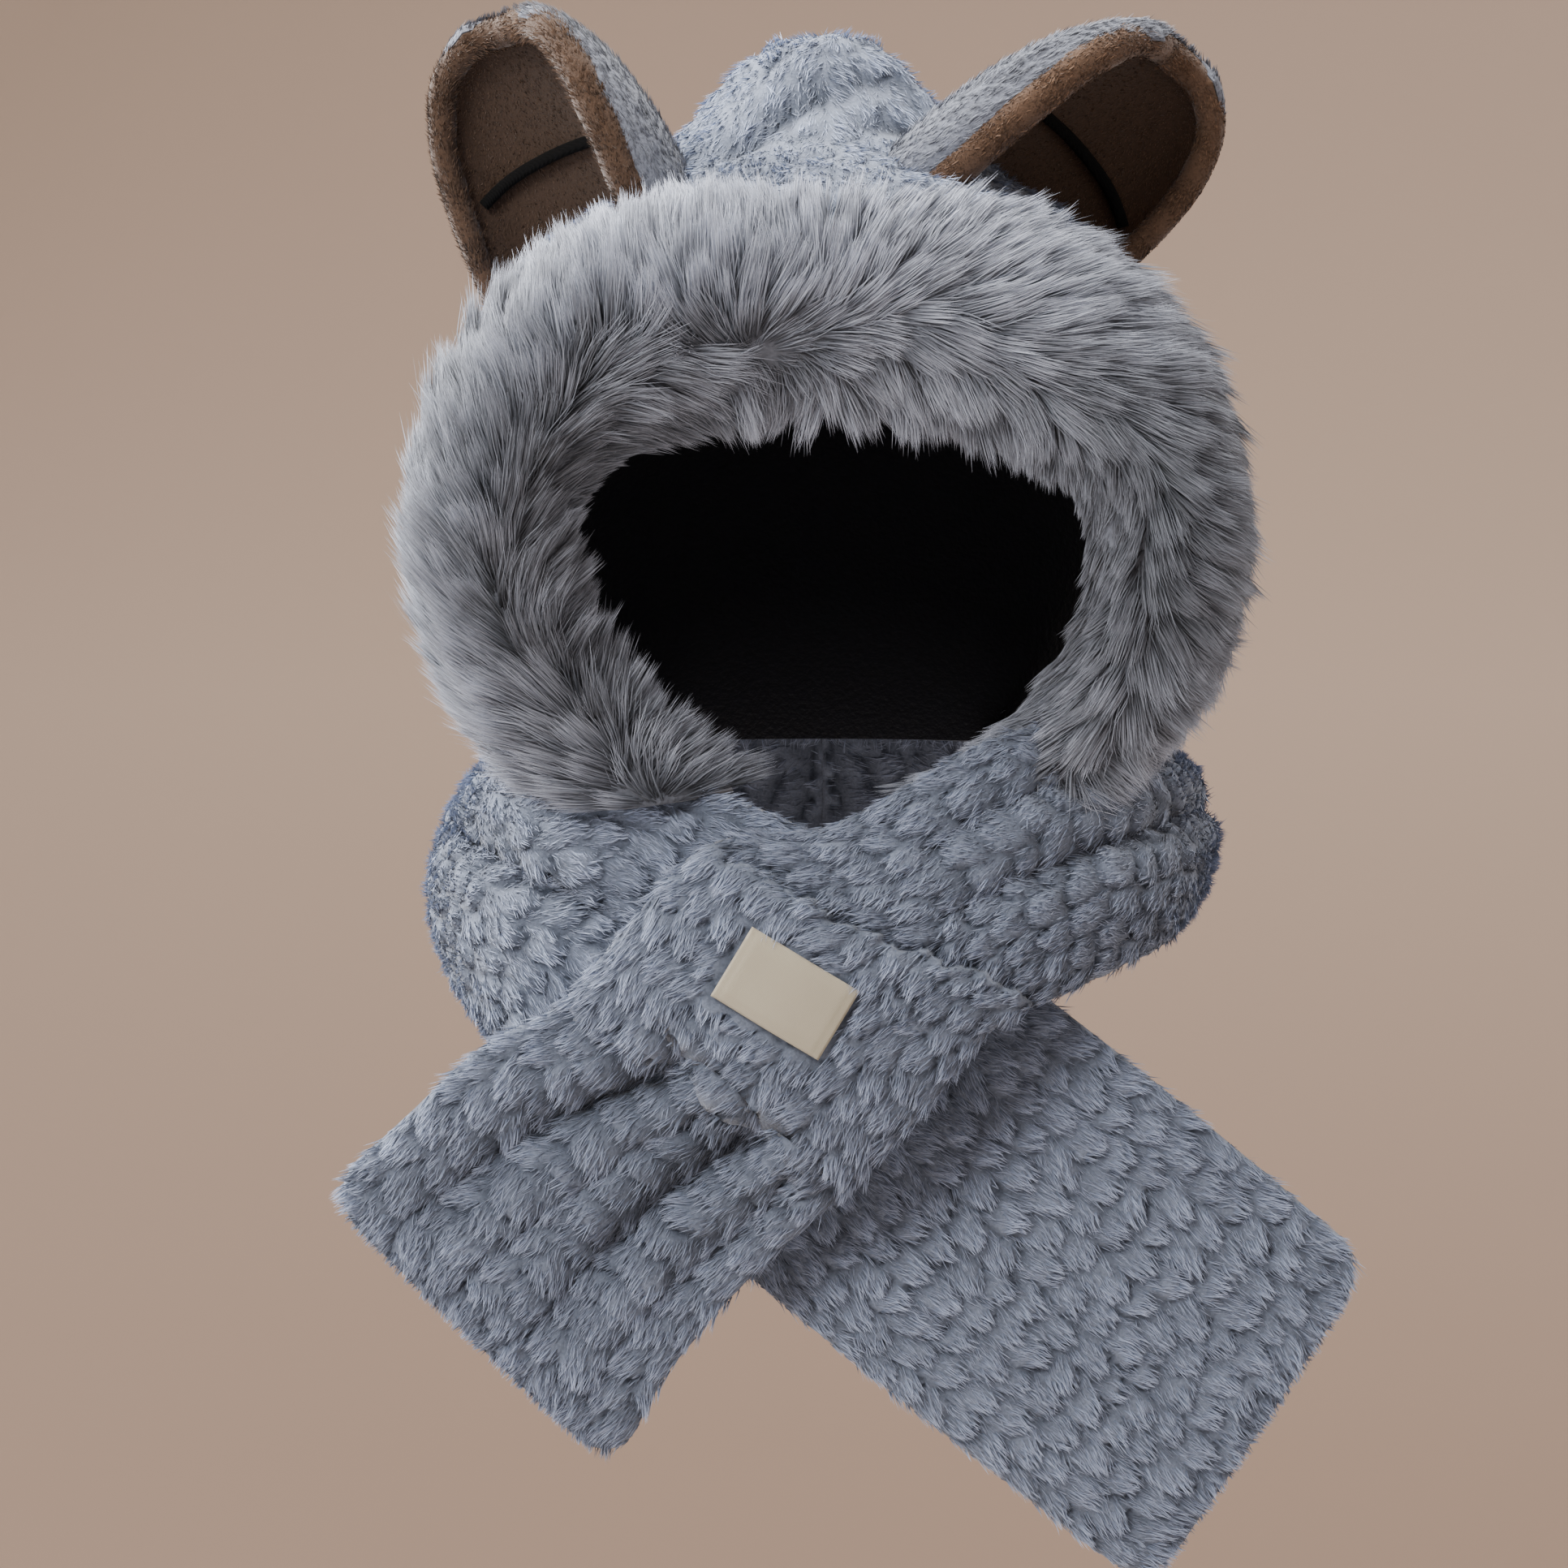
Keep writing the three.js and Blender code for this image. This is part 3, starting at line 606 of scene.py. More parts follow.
@dataclass(frozen=True)
class Tufts:
    """Tufts in rows along the cloth, each lapping over the next like a scale."""

    length: float = 14.0
    width: float = 11.6
    depth: float = 4.9
    wander: float = 2.6
    uneven: float = 0.45

    def bounds(self, row_seed: np.ndarray, column: np.ndarray) -> tuple[np.ndarray, np.ndarray]:
        """Where tufts start and end along their rows.

        Args:
            row_seed: a number for each tuft's row.
            column: its number in the row.

        Returns:
            The start and the end, in tufts.
        """
        before = column + self.uneven * (chance(row_seed + column) - 0.5)
        after = column + 1 + self.uneven * (chance(row_seed + column + 1) - 0.5)
        return before, after

    def cell(self, s: np.ndarray, w: np.ndarray) -> tuple:
        """Which tuft a place belongs to, and where in it.

        Args:
            s: millimetres along the rows.
            w: millimetres across them.

        Returns:
            The share along the tuft, the share across it (-1 to 1), a number for the tuft, and
            how deep the groove at its end is.
        """
        ripple = np.sin(s * 0.71 + w * 0.3) + np.sin(w * 0.83 - s * 0.37 + 2)
        s = s + self.wander * (np.sin(w * 0.11 + 1.3) + np.sin(w * 0.043 + s * 0.02))
        s = s + 0.55 * ripple
        w = w + self.wander * (np.sin(s * 0.061) + 0.6 * np.sin(s * 0.17 + w * 0.03))
        w = w + 0.6 * np.sin(s * 0.59 + w * 0.41)
        row = np.floor(w / self.width)
        aside = 2 * (w / self.width - row) - 1
        place = s / self.length + 0.5 * (row % 2) + 0.16 * np.sin(row * 2.4) + 0.3 * aside**2
        column = np.floor(place)
        seed = row * 131.0
        before, after = self.bounds(seed, column)
        column = np.where(place < before, column - 1, np.where(place >= after, column + 1, column))
        before, after = self.bounds(seed, column)
        along = np.clip((place - before) / (after - before), 0, 1)
        groove = 0.45 + 0.55 * chance(seed + column + 61)
        return along, aside, seed + column, groove

    def height(self, s: np.ndarray, w: np.ndarray) -> np.ndarray:
        """Height of the tufts, from 0 in a groove to 1 on a crest.

        Args:
            s: millimetres along the rows.
            w: millimetres across them.

        Returns:
            One height per place.
        """
        along, aside, number, groove = self.cell(s, w)
        before = 0.45 + 0.55 * chance(number + 60)
        rising = eased(np.clip(along / 0.7, 0, 1))
        start = np.clip(along / 0.12, 0, 1)
        climb = (0.45 * start + 0.55 * rising) * before + 0.8 * (1 - before)
        falling = 1 - groove * (1 - np.sqrt(np.clip((1 - along) / 0.2, 0, 1)))
        flank = (1 - np.abs(aside) ** 2.6) ** 0.6
        own = 0.8 + 0.2 * chance(number + 17)
        return climb * falling * (0.45 + 0.55 * flank) * own

    def strands(self, s: np.ndarray, w: np.ndarray) -> tuple:
        """How strands lie in the tufts.

        Args:
            s: millimetres along the rows.
            w: millimetres across them.

        Returns:
            The height of the tuft under each strand, its sideways lean, its longest length and
            how steeply the tuft rises ahead of it.
        """
        along, aside, number, _ = self.cell(s, w)
        height = self.height(s, w)
        climb = self.depth * np.clip(self.height(s + 1.6, w) - height, 0, 0.32) / 1.6
        lean = -0.4 * aside * along + 1.0 * (chance(number + 5) - 0.5)
        lean = lean + 0.35 * np.sin(s * 0.9 + 2 * np.sin(w * 0.5)) * np.sin(w * 0.7 + 1)
        reach = 2.6 + 0.9 * self.length * (1 - along)
        return height, lean, reach, climb


TUFTS = Tufts()


def grid_shares(span_u: tuple, span_v: tuple, rows: int, columns: int) -> tuple:
    """Shares of an even grid."""
    return crossed(np.linspace(*span_u, rows), np.linspace(*span_v, columns))


def grid_quads(index: np.ndarray) -> np.ndarray:
    """Quads of a grid."""
    corners = (index[:-1, :-1], index[:-1, 1:], index[1:, 1:], index[1:, :-1])
    return np.stack([corner.ravel() for corner in corners], axis=-1)


def grid_uv(rows: int, columns: int, box: tuple[float, float, float, float]) -> np.ndarray:
    """Texture coordinates of a grid's quads.

    Args:
        rows: grid lines along.
        columns: grid lines across.
        box: left, bottom, width and height of the grid's place in the texture.

    Returns:
        One pair per corner of each quad.
    """
    i, j = np.meshgrid(np.arange(rows - 1), np.arange(columns - 1), indexing="ij")
    corners = []
    for di, dj in ((0, 0), (0, 1), (1, 1), (1, 0)):
        along = (i + di) / (rows - 1) * box[2] + box[0]
        across = (j + dj) / (columns - 1) * box[3] + box[1]
        corners.append(np.stack([along, across], axis=-1).reshape(-1, 2))
    return np.stack(corners, axis=1).reshape(-1, 2)


def bridge(first: np.ndarray, second: np.ndarray) -> list[tuple[int, int, int]]:
    """Triangles between two edges that start and end side by side.

    Args:
        first: vertex numbers of one edge.
        second: vertex numbers of the other.

    Returns:
        The triangles.
    """
    faces = []
    i, j = 0, 0
    last_i, last_j = len(first) - 1, len(second) - 1
    while i < last_i or j < last_j:
        if j == last_j or (i < last_i and (i + 1) * last_j <= (j + 1) * last_i):
            faces.append((first[i], first[i + 1], second[j]))
            i += 1
        else:
            faces.append((first[i], second[j + 1], second[j]))
            j += 1
    return faces


def build_object(
    name: str,
    points: np.ndarray,
    faces: list[np.ndarray],
    uv: np.ndarray,
    material: bpy.types.Material,
    tone: np.ndarray | None = None,
    tidy: bool = True,
) -> bpy.types.Object:
    """A mesh object from arrays.

    Args:
        name: the object's name.
        points: vertices in millimetres round the datum.
        faces: arrays of faces, each with its own number of corners.
        uv: one texture pair per corner, in the order of the faces.
        material: the finish.
        tone: a value per vertex that the finish reads, or None.
        tidy: whether faces are turned to point outwards.

    Returns:
        The object.
    """
    mesh = bpy.data.meshes.new(name)
    faces = [block for block in faces if len(block)]
    corners = np.concatenate([block.ravel() for block in faces]).astype(np.int32)
    sizes = np.concatenate([np.full(len(block), block.shape[1]) for block in faces])
    starts = np.concatenate([[0], np.cumsum(sizes)[:-1]]).astype(np.int32)
    mesh.vertices.add(len(points))
    mesh.vertices.foreach_set("co", ((points + SEAT) * MM).astype(np.float32).ravel())
    mesh.loops.add(len(corners))
    mesh.loops.foreach_set("vertex_index", corners)
    mesh.polygons.add(len(sizes))
    mesh.polygons.foreach_set("loop_start", starts)
    mesh.polygons.foreach_set("loop_total", sizes.astype(np.int32))
    layer = mesh.uv_layers.new(name=UV_NAME)
    layer.data.foreach_set("uv", uv.astype(np.float32).ravel())
    if tone is not None:
        attribute = mesh.attributes.new("tone", "FLOAT", "POINT")
        attribute.data.foreach_set("value", tone.astype(np.float32))
    mesh.update(calc_edges=True)
    mesh.validate()
    if tidy:
        work = bmesh.new()
        work.from_mesh(mesh)
        bmesh.ops.recalc_face_normals(work, faces=work.faces)
        work.to_mesh(mesh)
        work.free()
    mesh.shade_smooth()
    mesh.materials.append(material)
    made = bpy.data.objects.new(name, mesh)
    bpy.context.scene.collection.objects.link(made)
    return made


def spread_uv(count: int, left: float, width: float) -> np.ndarray:
    """Texture places of narrow joining triangles, each in a place of its own.

    Args:
        count: number of triangles.
        left: left edge of their strip of the texture.
        width: width of the strip.

    Returns:
        One pair per corner.
    """
    low = np.arange(count) / count
    high = (np.arange(count) + 0.8) / count
    corners = np.stack(
        [
            np.stack([np.full(count, left), low], axis=-1),
            np.stack([np.full(count, left + width), low], axis=-1),
            np.stack([np.full(count, left + width / 2), high], axis=-1),
        ],
        axis=1,
    )
    return corners.reshape(-1, 2)


class Nodes:
    """Adds nodes to a shader tree and joins them."""

    def __init__(self, tree: bpy.types.NodeTree) -> None:
        """A tree to add to."""
        self.tree = tree

    def add(self, kind: str, inputs: dict | None = None, **settings: object) -> bpy.types.Node:
        """A node with its settings and inputs.

        Args:
            kind: its type, without ShaderNode.
            inputs: per input, a value or the output that feeds it.
            settings: its properties.

        Returns:
            The node.
        """
        node = self.tree.nodes.new(f"ShaderNode{kind}")
        for name, value in settings.items():
            setattr(node, name, value)
        self.feed(node, inputs or {})
        return node

    def feed(self, node: bpy.types.Node, inputs: dict) -> None:
        """Sets or joins a node's inputs.

        Args:
            node: the node.
            inputs: per input, a value or the output that feeds it.
        """
        for name, value in inputs.items():
            if isinstance(value, bpy.types.NodeSocket):
                self.tree.links.new(value, node.inputs[name])
            else:
                node.inputs[name].default_value = value

    def mix(self, factor: object, first: object, second: object) -> bpy.types.NodeSocket:
        """A colour between two colours."""
        inputs = {"Factor": factor, "A": first, "B": second}
        return self.add("Mix", inputs, data_type="RGBA").outputs["Result"]

    def span(self, value: bpy.types.NodeSocket, **limits: float) -> bpy.types.NodeSocket:
        """A value carried from one range to another, each 0 to 1 unless a limit says otherwise."""
        inputs = {name.replace("_", " ").title(): limit for name, limit in limits.items()}
        return self.add("MapRange", {"Value": value, **inputs}).outputs["Result"]

    def scaled(
        self, colour: bpy.types.NodeSocket, by: bpy.types.NodeSocket
    ) -> bpy.types.NodeSocket:
        """A colour made lighter or darker."""
        node = self.add("VectorMath", {0: colour, "Scale": by}, operation="SCALE")
        return node.outputs["Vector"]

    def product(self, first: bpy.types.NodeSocket, second: bpy.types.NodeSocket) -> object:
        """Two values multiplied."""
        return self.add("Math", {0: first, 1: second}, operation="MULTIPLY").outputs["Value"]

    def relief(self, height: object, strength: object, distance: float) -> bpy.types.NodeSocket:
        """Normals of a fine relief."""
        inputs = {"Height": height, "Strength": strength, "Distance": distance}
        return self.add("Bump", inputs).outputs["Normal"]


class Shaders:
    """Finishes, as materials round shared groups of nodes."""

    def __init__(self) -> None:
        """The shared groups."""
        self.pile_group = self.make_pile_group()
        self.cloth_group = self.make_cloth_group()

    @staticmethod
    def new_group(name: str, inputs: dict[str, str], outputs: dict[str, str]) -> tuple:
        """An empty group of shader nodes.

        Args:
            name: the group's name.
            inputs: kind of each named input.
            outputs: kind of each named output.

        Returns:
            The group's nodes, the outputs of its input node, and its output node.
        """
        group = bpy.data.node_groups.new(name, "ShaderNodeTree")
        for in_out, sockets in (("INPUT", inputs), ("OUTPUT", outputs)):
            for label, kind in sockets.items():
                group.interface.new_socket(label, in_out=in_out, socket_type=f"NodeSocket{kind}")
        nodes = group.nodes
        return Nodes(group), nodes.new("NodeGroupInput").outputs, nodes.new("NodeGroupOutput")

    @classmethod
    def make_pile_group(cls) -> bpy.types.NodeTree:
        """Colour of a strand from its place in the texture: tone across, height up it.

        Returns:
            The group.
        """
        nodes, given, result = cls.new_group(
            "pile_colour",
            {"Place": "Vector", "Root": "Color", "Middle": "Color", "Tip": "Color"},
            {"Color": "Color", "Height": "Float"},
        )
        place = nodes.add("SeparateXYZ", {0: given["Place"]}).outputs
        low = nodes.span(place["Y"], from_max=STRAND_MIDDLE)
        high = nodes.span(place["Y"], from_min=STRAND_MIDDLE)
        colour = nodes.mix(high, nodes.mix(low, given["Root"], given["Middle"]), given["Tip"])
        tone = nodes.span(place["X"], to_min=STRAND_TONES[0], to_max=STRAND_TONES[1])
        nodes.feed(result, {"Color": nodes.scaled(colour, tone), "Height": place["Y"]})
        return nodes.tree

    @classmethod
    def make_cloth_group(cls) -> bpy.types.NodeTree:
        """Colour and relief of the cloth under a pile: painted shade in the grooves, where the tone
        is low, with a fine grain.

        Returns:
            The group.
        """
        nodes, given, result = cls.new_group(
            "cloth_grain",
            {
                "Position": "Vector", "Tone": "Float", "Groove": "Color", "Crest": "Color",
                "Scale": "Float", "Bump": "Float",
            },
            {"Color": "Color", "Normal": "Vector"},
        )
        position = given["Position"]
        fine = nodes.add(
            "TexNoise", {"Vector": position, "Scale": given["Scale"], "Detail": 3.0}
        ).outputs["Fac"]
        broad = nodes.add("TexNoise", {"Vector": position, "Scale": 14.0}).outputs["Fac"]
        grain = nodes.span(fine, to_min=0.55, to_max=1.45)
        patch = nodes.span(broad, to_min=0.84, to_max=1.16)
        colour = nodes.mix(given["Tone"], given["Groove"], given["Crest"])
        colour = nodes.scaled(colour, nodes.product(grain, patch))
        normal = nodes.relief(fine, given["Bump"], 0.0008)
        nodes.feed(result, {"Color": colour, "Normal": normal})
        return nodes.tree

    @staticmethod
    def new_material(
        name: str, roughness: float, sheen: float
    ) -> tuple[bpy.types.Material, Nodes, bpy.types.Node]:
        """A material with a principled shader.

        Args:
            name: the material's name.
            roughness: how matt it is.
            sheen: how much its fuzz catches the light.

        Returns:
            The material, its nodes and its shader.
        """
        material = bpy.data.materials.new(name)
        material.use_nodes = True
        nodes = Nodes(material.node_tree)
        shader = material.node_tree.nodes["Principled BSDF"]
        nodes.feed(shader, {
            "Roughness": roughness, "Sheen Weight": sheen, "Specular IOR Level": 0.25,
        })
        return material, nodes, shader

    def pile(self, name: str, finish: PileFinish) -> bpy.types.Material:
        """Finish of a pile's strands, darker at the root.

        Args:
            name: the material's name.
            finish: its colours.

        Returns:
            The material.
        """
        material, nodes, shader = self.new_material(name, finish.roughness, finish.sheen)
        group = nodes.add("Group", node_tree=self.pile_group)
        nodes.feed(group, {
            "Place": nodes.add("UVMap", uv_map=UV_NAME).outputs["UV"],
            "Root": opaque(finish.root),
            "Middle": opaque(finish.middle),
            "Tip": opaque(finish.tip),
        })
        nodes.feed(shader, {"Base Color": group.outputs["Color"]})
        return material

    def cloth(self, name: str, finish: ClothFinish) -> bpy.types.Material:
        """Finish of a cloth whose mesh carries a tone.

        Args:
            name: the material's name.
            finish: its colours and grain.

        Returns:
            The material.
        """
        material, nodes, shader = self.new_material(name, finish.roughness, 0.3)
        group = nodes.add("Group", node_tree=self.cloth_group)
        nodes.feed(group, {
            "Position": nodes.add("TexCoord").outputs["Object"],
            "Tone": nodes.add("Attribute", attribute_name="tone").outputs["Fac"],
            "Groove": opaque(finish.groove),
            "Crest": opaque(finish.crest),
            "Scale": finish.grain,
            "Bump": finish.bump,
        })
        made = group.outputs
        nodes.feed(shader, {"Base Color": made["Color"], "Normal": made["Normal"]})
        return material

    def woven(self, name: str) -> bpy.types.Material:
        """Finish of the label: cream satin tape with its threads.

        Args:
            name: the material's name.

        Returns:
            The material.
        """
        material, nodes, shader = self.new_material(name, 0.5, 0.2)
        place = nodes.add("UVMap", uv_map=UV_NAME).outputs["UV"]
        warp = nodes.add("TexWave", {"Vector": place, "Scale": 46.0, "Distortion": 0.6})
        weft = nodes.add(
            "TexWave", {"Vector": place, "Scale": 38.0, "Distortion": 0.6}, bands_direction="Y"
        )
        threads = nodes.product(warp.outputs["Fac"], weft.outputs["Fac"])
        nodes.feed(shader, {
            "Base Color": nodes.mix(threads, *(opaque(colour) for colour in TAPE_COLOURS)),
            "Normal": nodes.relief(threads, 0.35, 0.0003),
        })
        return material

    def twisted(self, name: str, colour: tuple[float, float, float]) -> bpy.types.Material:
        """Finish of a cord.

        Args:
            name: the material's name.
            colour: its colour, linear.

        Returns:
            The material.
        """
        material, nodes, shader = self.new_material(name, 1.0, 0.0)
        position = nodes.add("TexCoord").outputs["Object"]
        wave = nodes.add(
            "TexWave", {"Vector": position, "Scale": 420.0}, bands_direction="DIAGONAL"
        ).outputs["Fac"]
        shadow = tuple(0.5 * part for part in colour)
        nodes.feed(shader, {
            "Base Color": nodes.mix(wave, opaque(shadow), opaque(colour)),
            "Normal": nodes.relief(wave, 0.5, 0.0003),
        })
        return material


def opaque(colour: tuple[float, float, float]) -> tuple[float, float, float, float]:
    """A colour with its alpha."""
    return (*colour, 1.0)


@dataclass
class Roots:
    """Where strands grow, and how."""

    points: np.ndarray
    normals: np.ndarray
    flows: np.ndarray
    tones: np.ndarray
    lengths: np.ndarray
    lifts: np.ndarray


def nearest_lock(points: np.ndarray, cell: float) -> np.ndarray:
    """Which lock each strand belongs to.

    Args:
        points: where the strands grow, in millimetres.
        cell: spacing of the locks.

    Returns:
        A number per strand, shared by the strands of a lock.
    """
    base = np.floor(points / cell)
    best = np.full(len(points), np.inf)
    chosen = np.zeros(len(points))
    for step in np.ndindex(3, 3, 3):
        corner = base + np.array(step) - 1
        number = corner @ np.array([1.0, 2048.0, 4194304.0])
        centre = corner + np.stack([chance(number + shift) for shift in (0.1, 0.4, 0.7)], axis=-1)
        far = ((points / cell - centre) ** 2).sum(axis=-1)
        nearer = far < best
        best = np.where(nearer, far, best)
        chosen = np.where(nearer, number, chosen)
    return np.unique(chosen, return_inverse=True)[1]


def grow_pile(
    name: str, roots: Roots, spec: PileSpec, material: bpy.types.Material
) -> bpy.types.Object:
    """A pile as thin tapered ribbons, gathered in locks.

    Args:
        name: the object's name.
        roots: where the strands grow.
        spec: their size and habit.
        material: their finish.

    Returns:
        The object.
    """
    rng = np.random.default_rng(spec.seed)
    count = len(roots.points)
    wild = rng.normal(size=(count, 3)) * spec.spread
    direction = unit(roots.flows + roots.normals * roots.lifts[:, None] + wild)
    length = roots.lengths * rng.uniform(*STRAND_LENGTHS, count)
    bend = unit(roots.flows - 0.5 * roots.normals + spec.spread * rng.normal(size=(count, 3)))
    lock = nearest_lock(roots.points, spec.clump)
    members = np.bincount(lock).astype(float)[:, None]
    tips = roots.points + direction * length[:, None]

    def mean(values: np.ndarray) -> np.ndarray:
        """Mean of a value over each lock."""
        sums = [np.bincount(lock, weights=values[:, k]) for k in range(3)]
        return (np.stack(sums, axis=-1) / members)[lock]

    swing = rng.normal(size=(int(lock.max()) + 1, 3))[lock] * spec.swing * length[:, None]
    pulled = mean(tips) + swing - tips
    own = rng.normal(size=count) * 0.45 + 1.5 * (rng.random(int(lock.max()) + 1)[lock] - 0.5)
    tone = np.clip(roots.tones + own * spec.tones, 0.02, 0.98)
    heights = np.linspace(0, 1, spec.segments + 1)
    beside = unit(np.cross(direction, roots.normals) + 1e-4)
    turned = unit(np.cross(direction, beside))
    roll = rng.uniform(-STRAND_TURN, STRAND_TURN, count)[:, None]
    beside = beside * np.cos(roll) + turned * np.sin(roll)
    rings = []
    for height in heights:
        centre = (
            roots.points
            + direction * (length * height)[:, None]
            + bend * (STRAND_BEND * length * height**2)[:, None]
            + pulled * (spec.pull * height**1.5)
        )
        wide = 0.5 * spec.width * (1 - height**1.6)
        rings.append((centre - beside * wide, centre + beside * wide, centre))
    places, faces, textures = [], [], []
    last = len(heights) - 1
    for left, right, _ in rings[:-1]:
        places.extend((left, right))
    places.append(rings[-1][2])
    points = np.stack(places, axis=1).reshape(-1, 3)
    size = 2 * last + 1
    start = np.arange(count) * size
    column = np.floor(tone * TONE_COLUMNS)
    near, far = (column + 0.15) / TONE_COLUMNS, (column + 0.85) / TONE_COLUMNS
    for k in range(last):
        low, high = heights[k] * 0.96 + 0.02, heights[k + 1] * 0.96 + 0.02
        lower, upper = np.full(count, low), np.full(count, high)
        if k < last - 1:
            faces.append(np.stack([start + 2 * k + n for n in (0, 1, 3, 2)], axis=-1))
            corners = ((near, lower), (far, lower), (far, upper), (near, upper))
        else:
            faces.append(np.stack([start + 2 * k, start + 2 * k + 1, start + 2 * k + 2], axis=-1))
            corners = ((near, lower), (far, lower), ((near + far) / 2, upper))
        textures.append(
            np.stack([np.stack(pair, axis=-1) for pair in corners], axis=1).reshape(-1, 2)
        )
    return build_object(name, points, faces, np.concatenate(textures), material, tidy=False)


def scatter(
    surface: Surface, spans: tuple, count: int, seed: int, weight: Callable | None = None
) -> tuple[np.ndarray, np.ndarray]:
    """Places spread evenly by area over part of a surface.

    Args:
        surface: the surface.
        spans: first and last shares along and across.
        count: how many places.
        seed: seed of the random numbers.
        weight: function of the shares that gives a relative density, or None.

    Returns:
        Shares along and across.
    """
    rng = np.random.default_rng(seed)
    span_u, span_v = spans
    u = rng.uniform(*span_u, count * 3)
    v = rng.uniform(*span_v, count * 3)
    along = (surface.point(u + STEP, v) - surface.point(u - STEP, v)) / (2 * STEP)
    across = (surface.point(u, v + STEP) - surface.point(u, v - STEP)) / (2 * STEP)
    density = np.linalg.norm(np.cross(along, across), axis=-1)
    if weight is not None:
        density = density * weight(u, v)
    chosen = rng.choice(len(u), count, replace=False, p=density / density.sum())
    return u[chosen], v[chosen]


class Sewing:
    """Grids and joins of one piece, gathered before its object is made."""

    def __init__(self) -> None:
        """Nothing gathered yet."""
        self.points: list[np.ndarray] = []
        self.tones: list[np.ndarray] = []
        self.faces: list[np.ndarray] = []
        self.uvs: list[np.ndarray] = []
        self.count = 0

    def grid(
        self, points: np.ndarray, tones: np.ndarray | float, shape: tuple[int, int], box: tuple
    ) -> np.ndarray:
        """A grid of quads.

        Args:
            points: its vertices, row by row.
            tones: a tone per vertex, or one for all.
            shape: rows and columns.
            box: its place in the texture.

        Returns:
            Its vertex numbers as a table.
        """
        index = self.count + np.arange(shape[0] * shape[1]).reshape(shape)
        self.points.append(points)
        self.tones.append(np.broadcast_to(np.asarray(tones, dtype=float), (len(points),)))
        self.faces.append(grid_quads(index))
        self.uvs.append(grid_uv(shape[0], shape[1], box))
        self.count += len(points)
        return index

    def join(self, first: np.ndarray, second: np.ndarray, left: float, width: float) -> None:
        """A narrow join between two edges.

        Args:
            first: vertex numbers of one edge.
            second: vertex numbers of the other.
            left: left edge of the join's strip of the texture.
            width: width of that strip.
        """
        triangles = np.array(bridge(first, second))
        self.faces.append(triangles)
        self.uvs.append(spread_uv(len(triangles), left, width))

    def close(self, first: np.ndarray, second: np.ndarray, left: float) -> None:
        """Joins the four edges of two grids."""
        for k, edge in enumerate(((0,), (-1,), (slice(None), 0), (slice(None), -1))):
            self.join(first[edge], second[edge], left + 0.004 * k, 0.003)

    def cap(self, ring: np.ndarray, half: int, left: float, width: float) -> None:
        """Closes the end of a tube."""
        self.join(ring[:half], ring[half - 1:][::-1], left, width)

    def make(self, name: str, material: bpy.types.Material) -> bpy.types.Object:
        """The object.

        Args:
            name: its name.
            material: its finish.

        Returns:
            The object.
        """
        return build_object(
            name,
            np.concatenate(self.points),
            self.faces,
            np.concatenate(self.uvs),
            material,
            np.concatenate(self.tones),
        )


def edge_round(distance: np.ndarray, radius: float) -> np.ndarray:
    """Height share of a rounded edge."""
    share = np.clip(distance / radius, 0, 1)
    return np.sqrt(np.clip(1 - (1 - share) ** 2, 0, 1))


def plush_pile(
    name: str, ground: tuple, tuft: tuple, spec: PileSpec, material: bpy.types.Material,
    shade: np.ndarray | float = 0.0, longest: np.ndarray | float = 99.0,
) -> bpy.types.Object:
    """The short pile of the tufted plush, lying along its tufts.

    Args:
        name: the object's name.
        ground: points, normals, and directions along and across the cloth, one per strand.
        tuft: millimetres along and across the cloth, one per strand.
        spec: the pile's size and habit.
        material: its finish.
        shade: painted shade on each strand, in folds; below zero it lightens, as painted light on
            the hood's crown.
        longest: longest that each strand may be.

    Returns:
        The object.
    """
    points, normals, along, across = ground
    height, lean, reach, climb = TUFTS.strands(*tuft)
    # strands low in the tufts get a darker tone, painted shade in the grooves, and shade darkens
    # them more in folds
    roots = Roots(
        points=points,
        normals=normals,
        flows=unit(along + across * lean[:, None]),
        tones=0.82 * height - 0.1 - shade,
        lengths=np.minimum(np.minimum(spec.length * (0.65 + 0.5 * height), reach), longest),
        lifts=0.27 + 0.3 * height + 1.0 * climb,
    )
    return grow_pile(name, roots, spec, material)


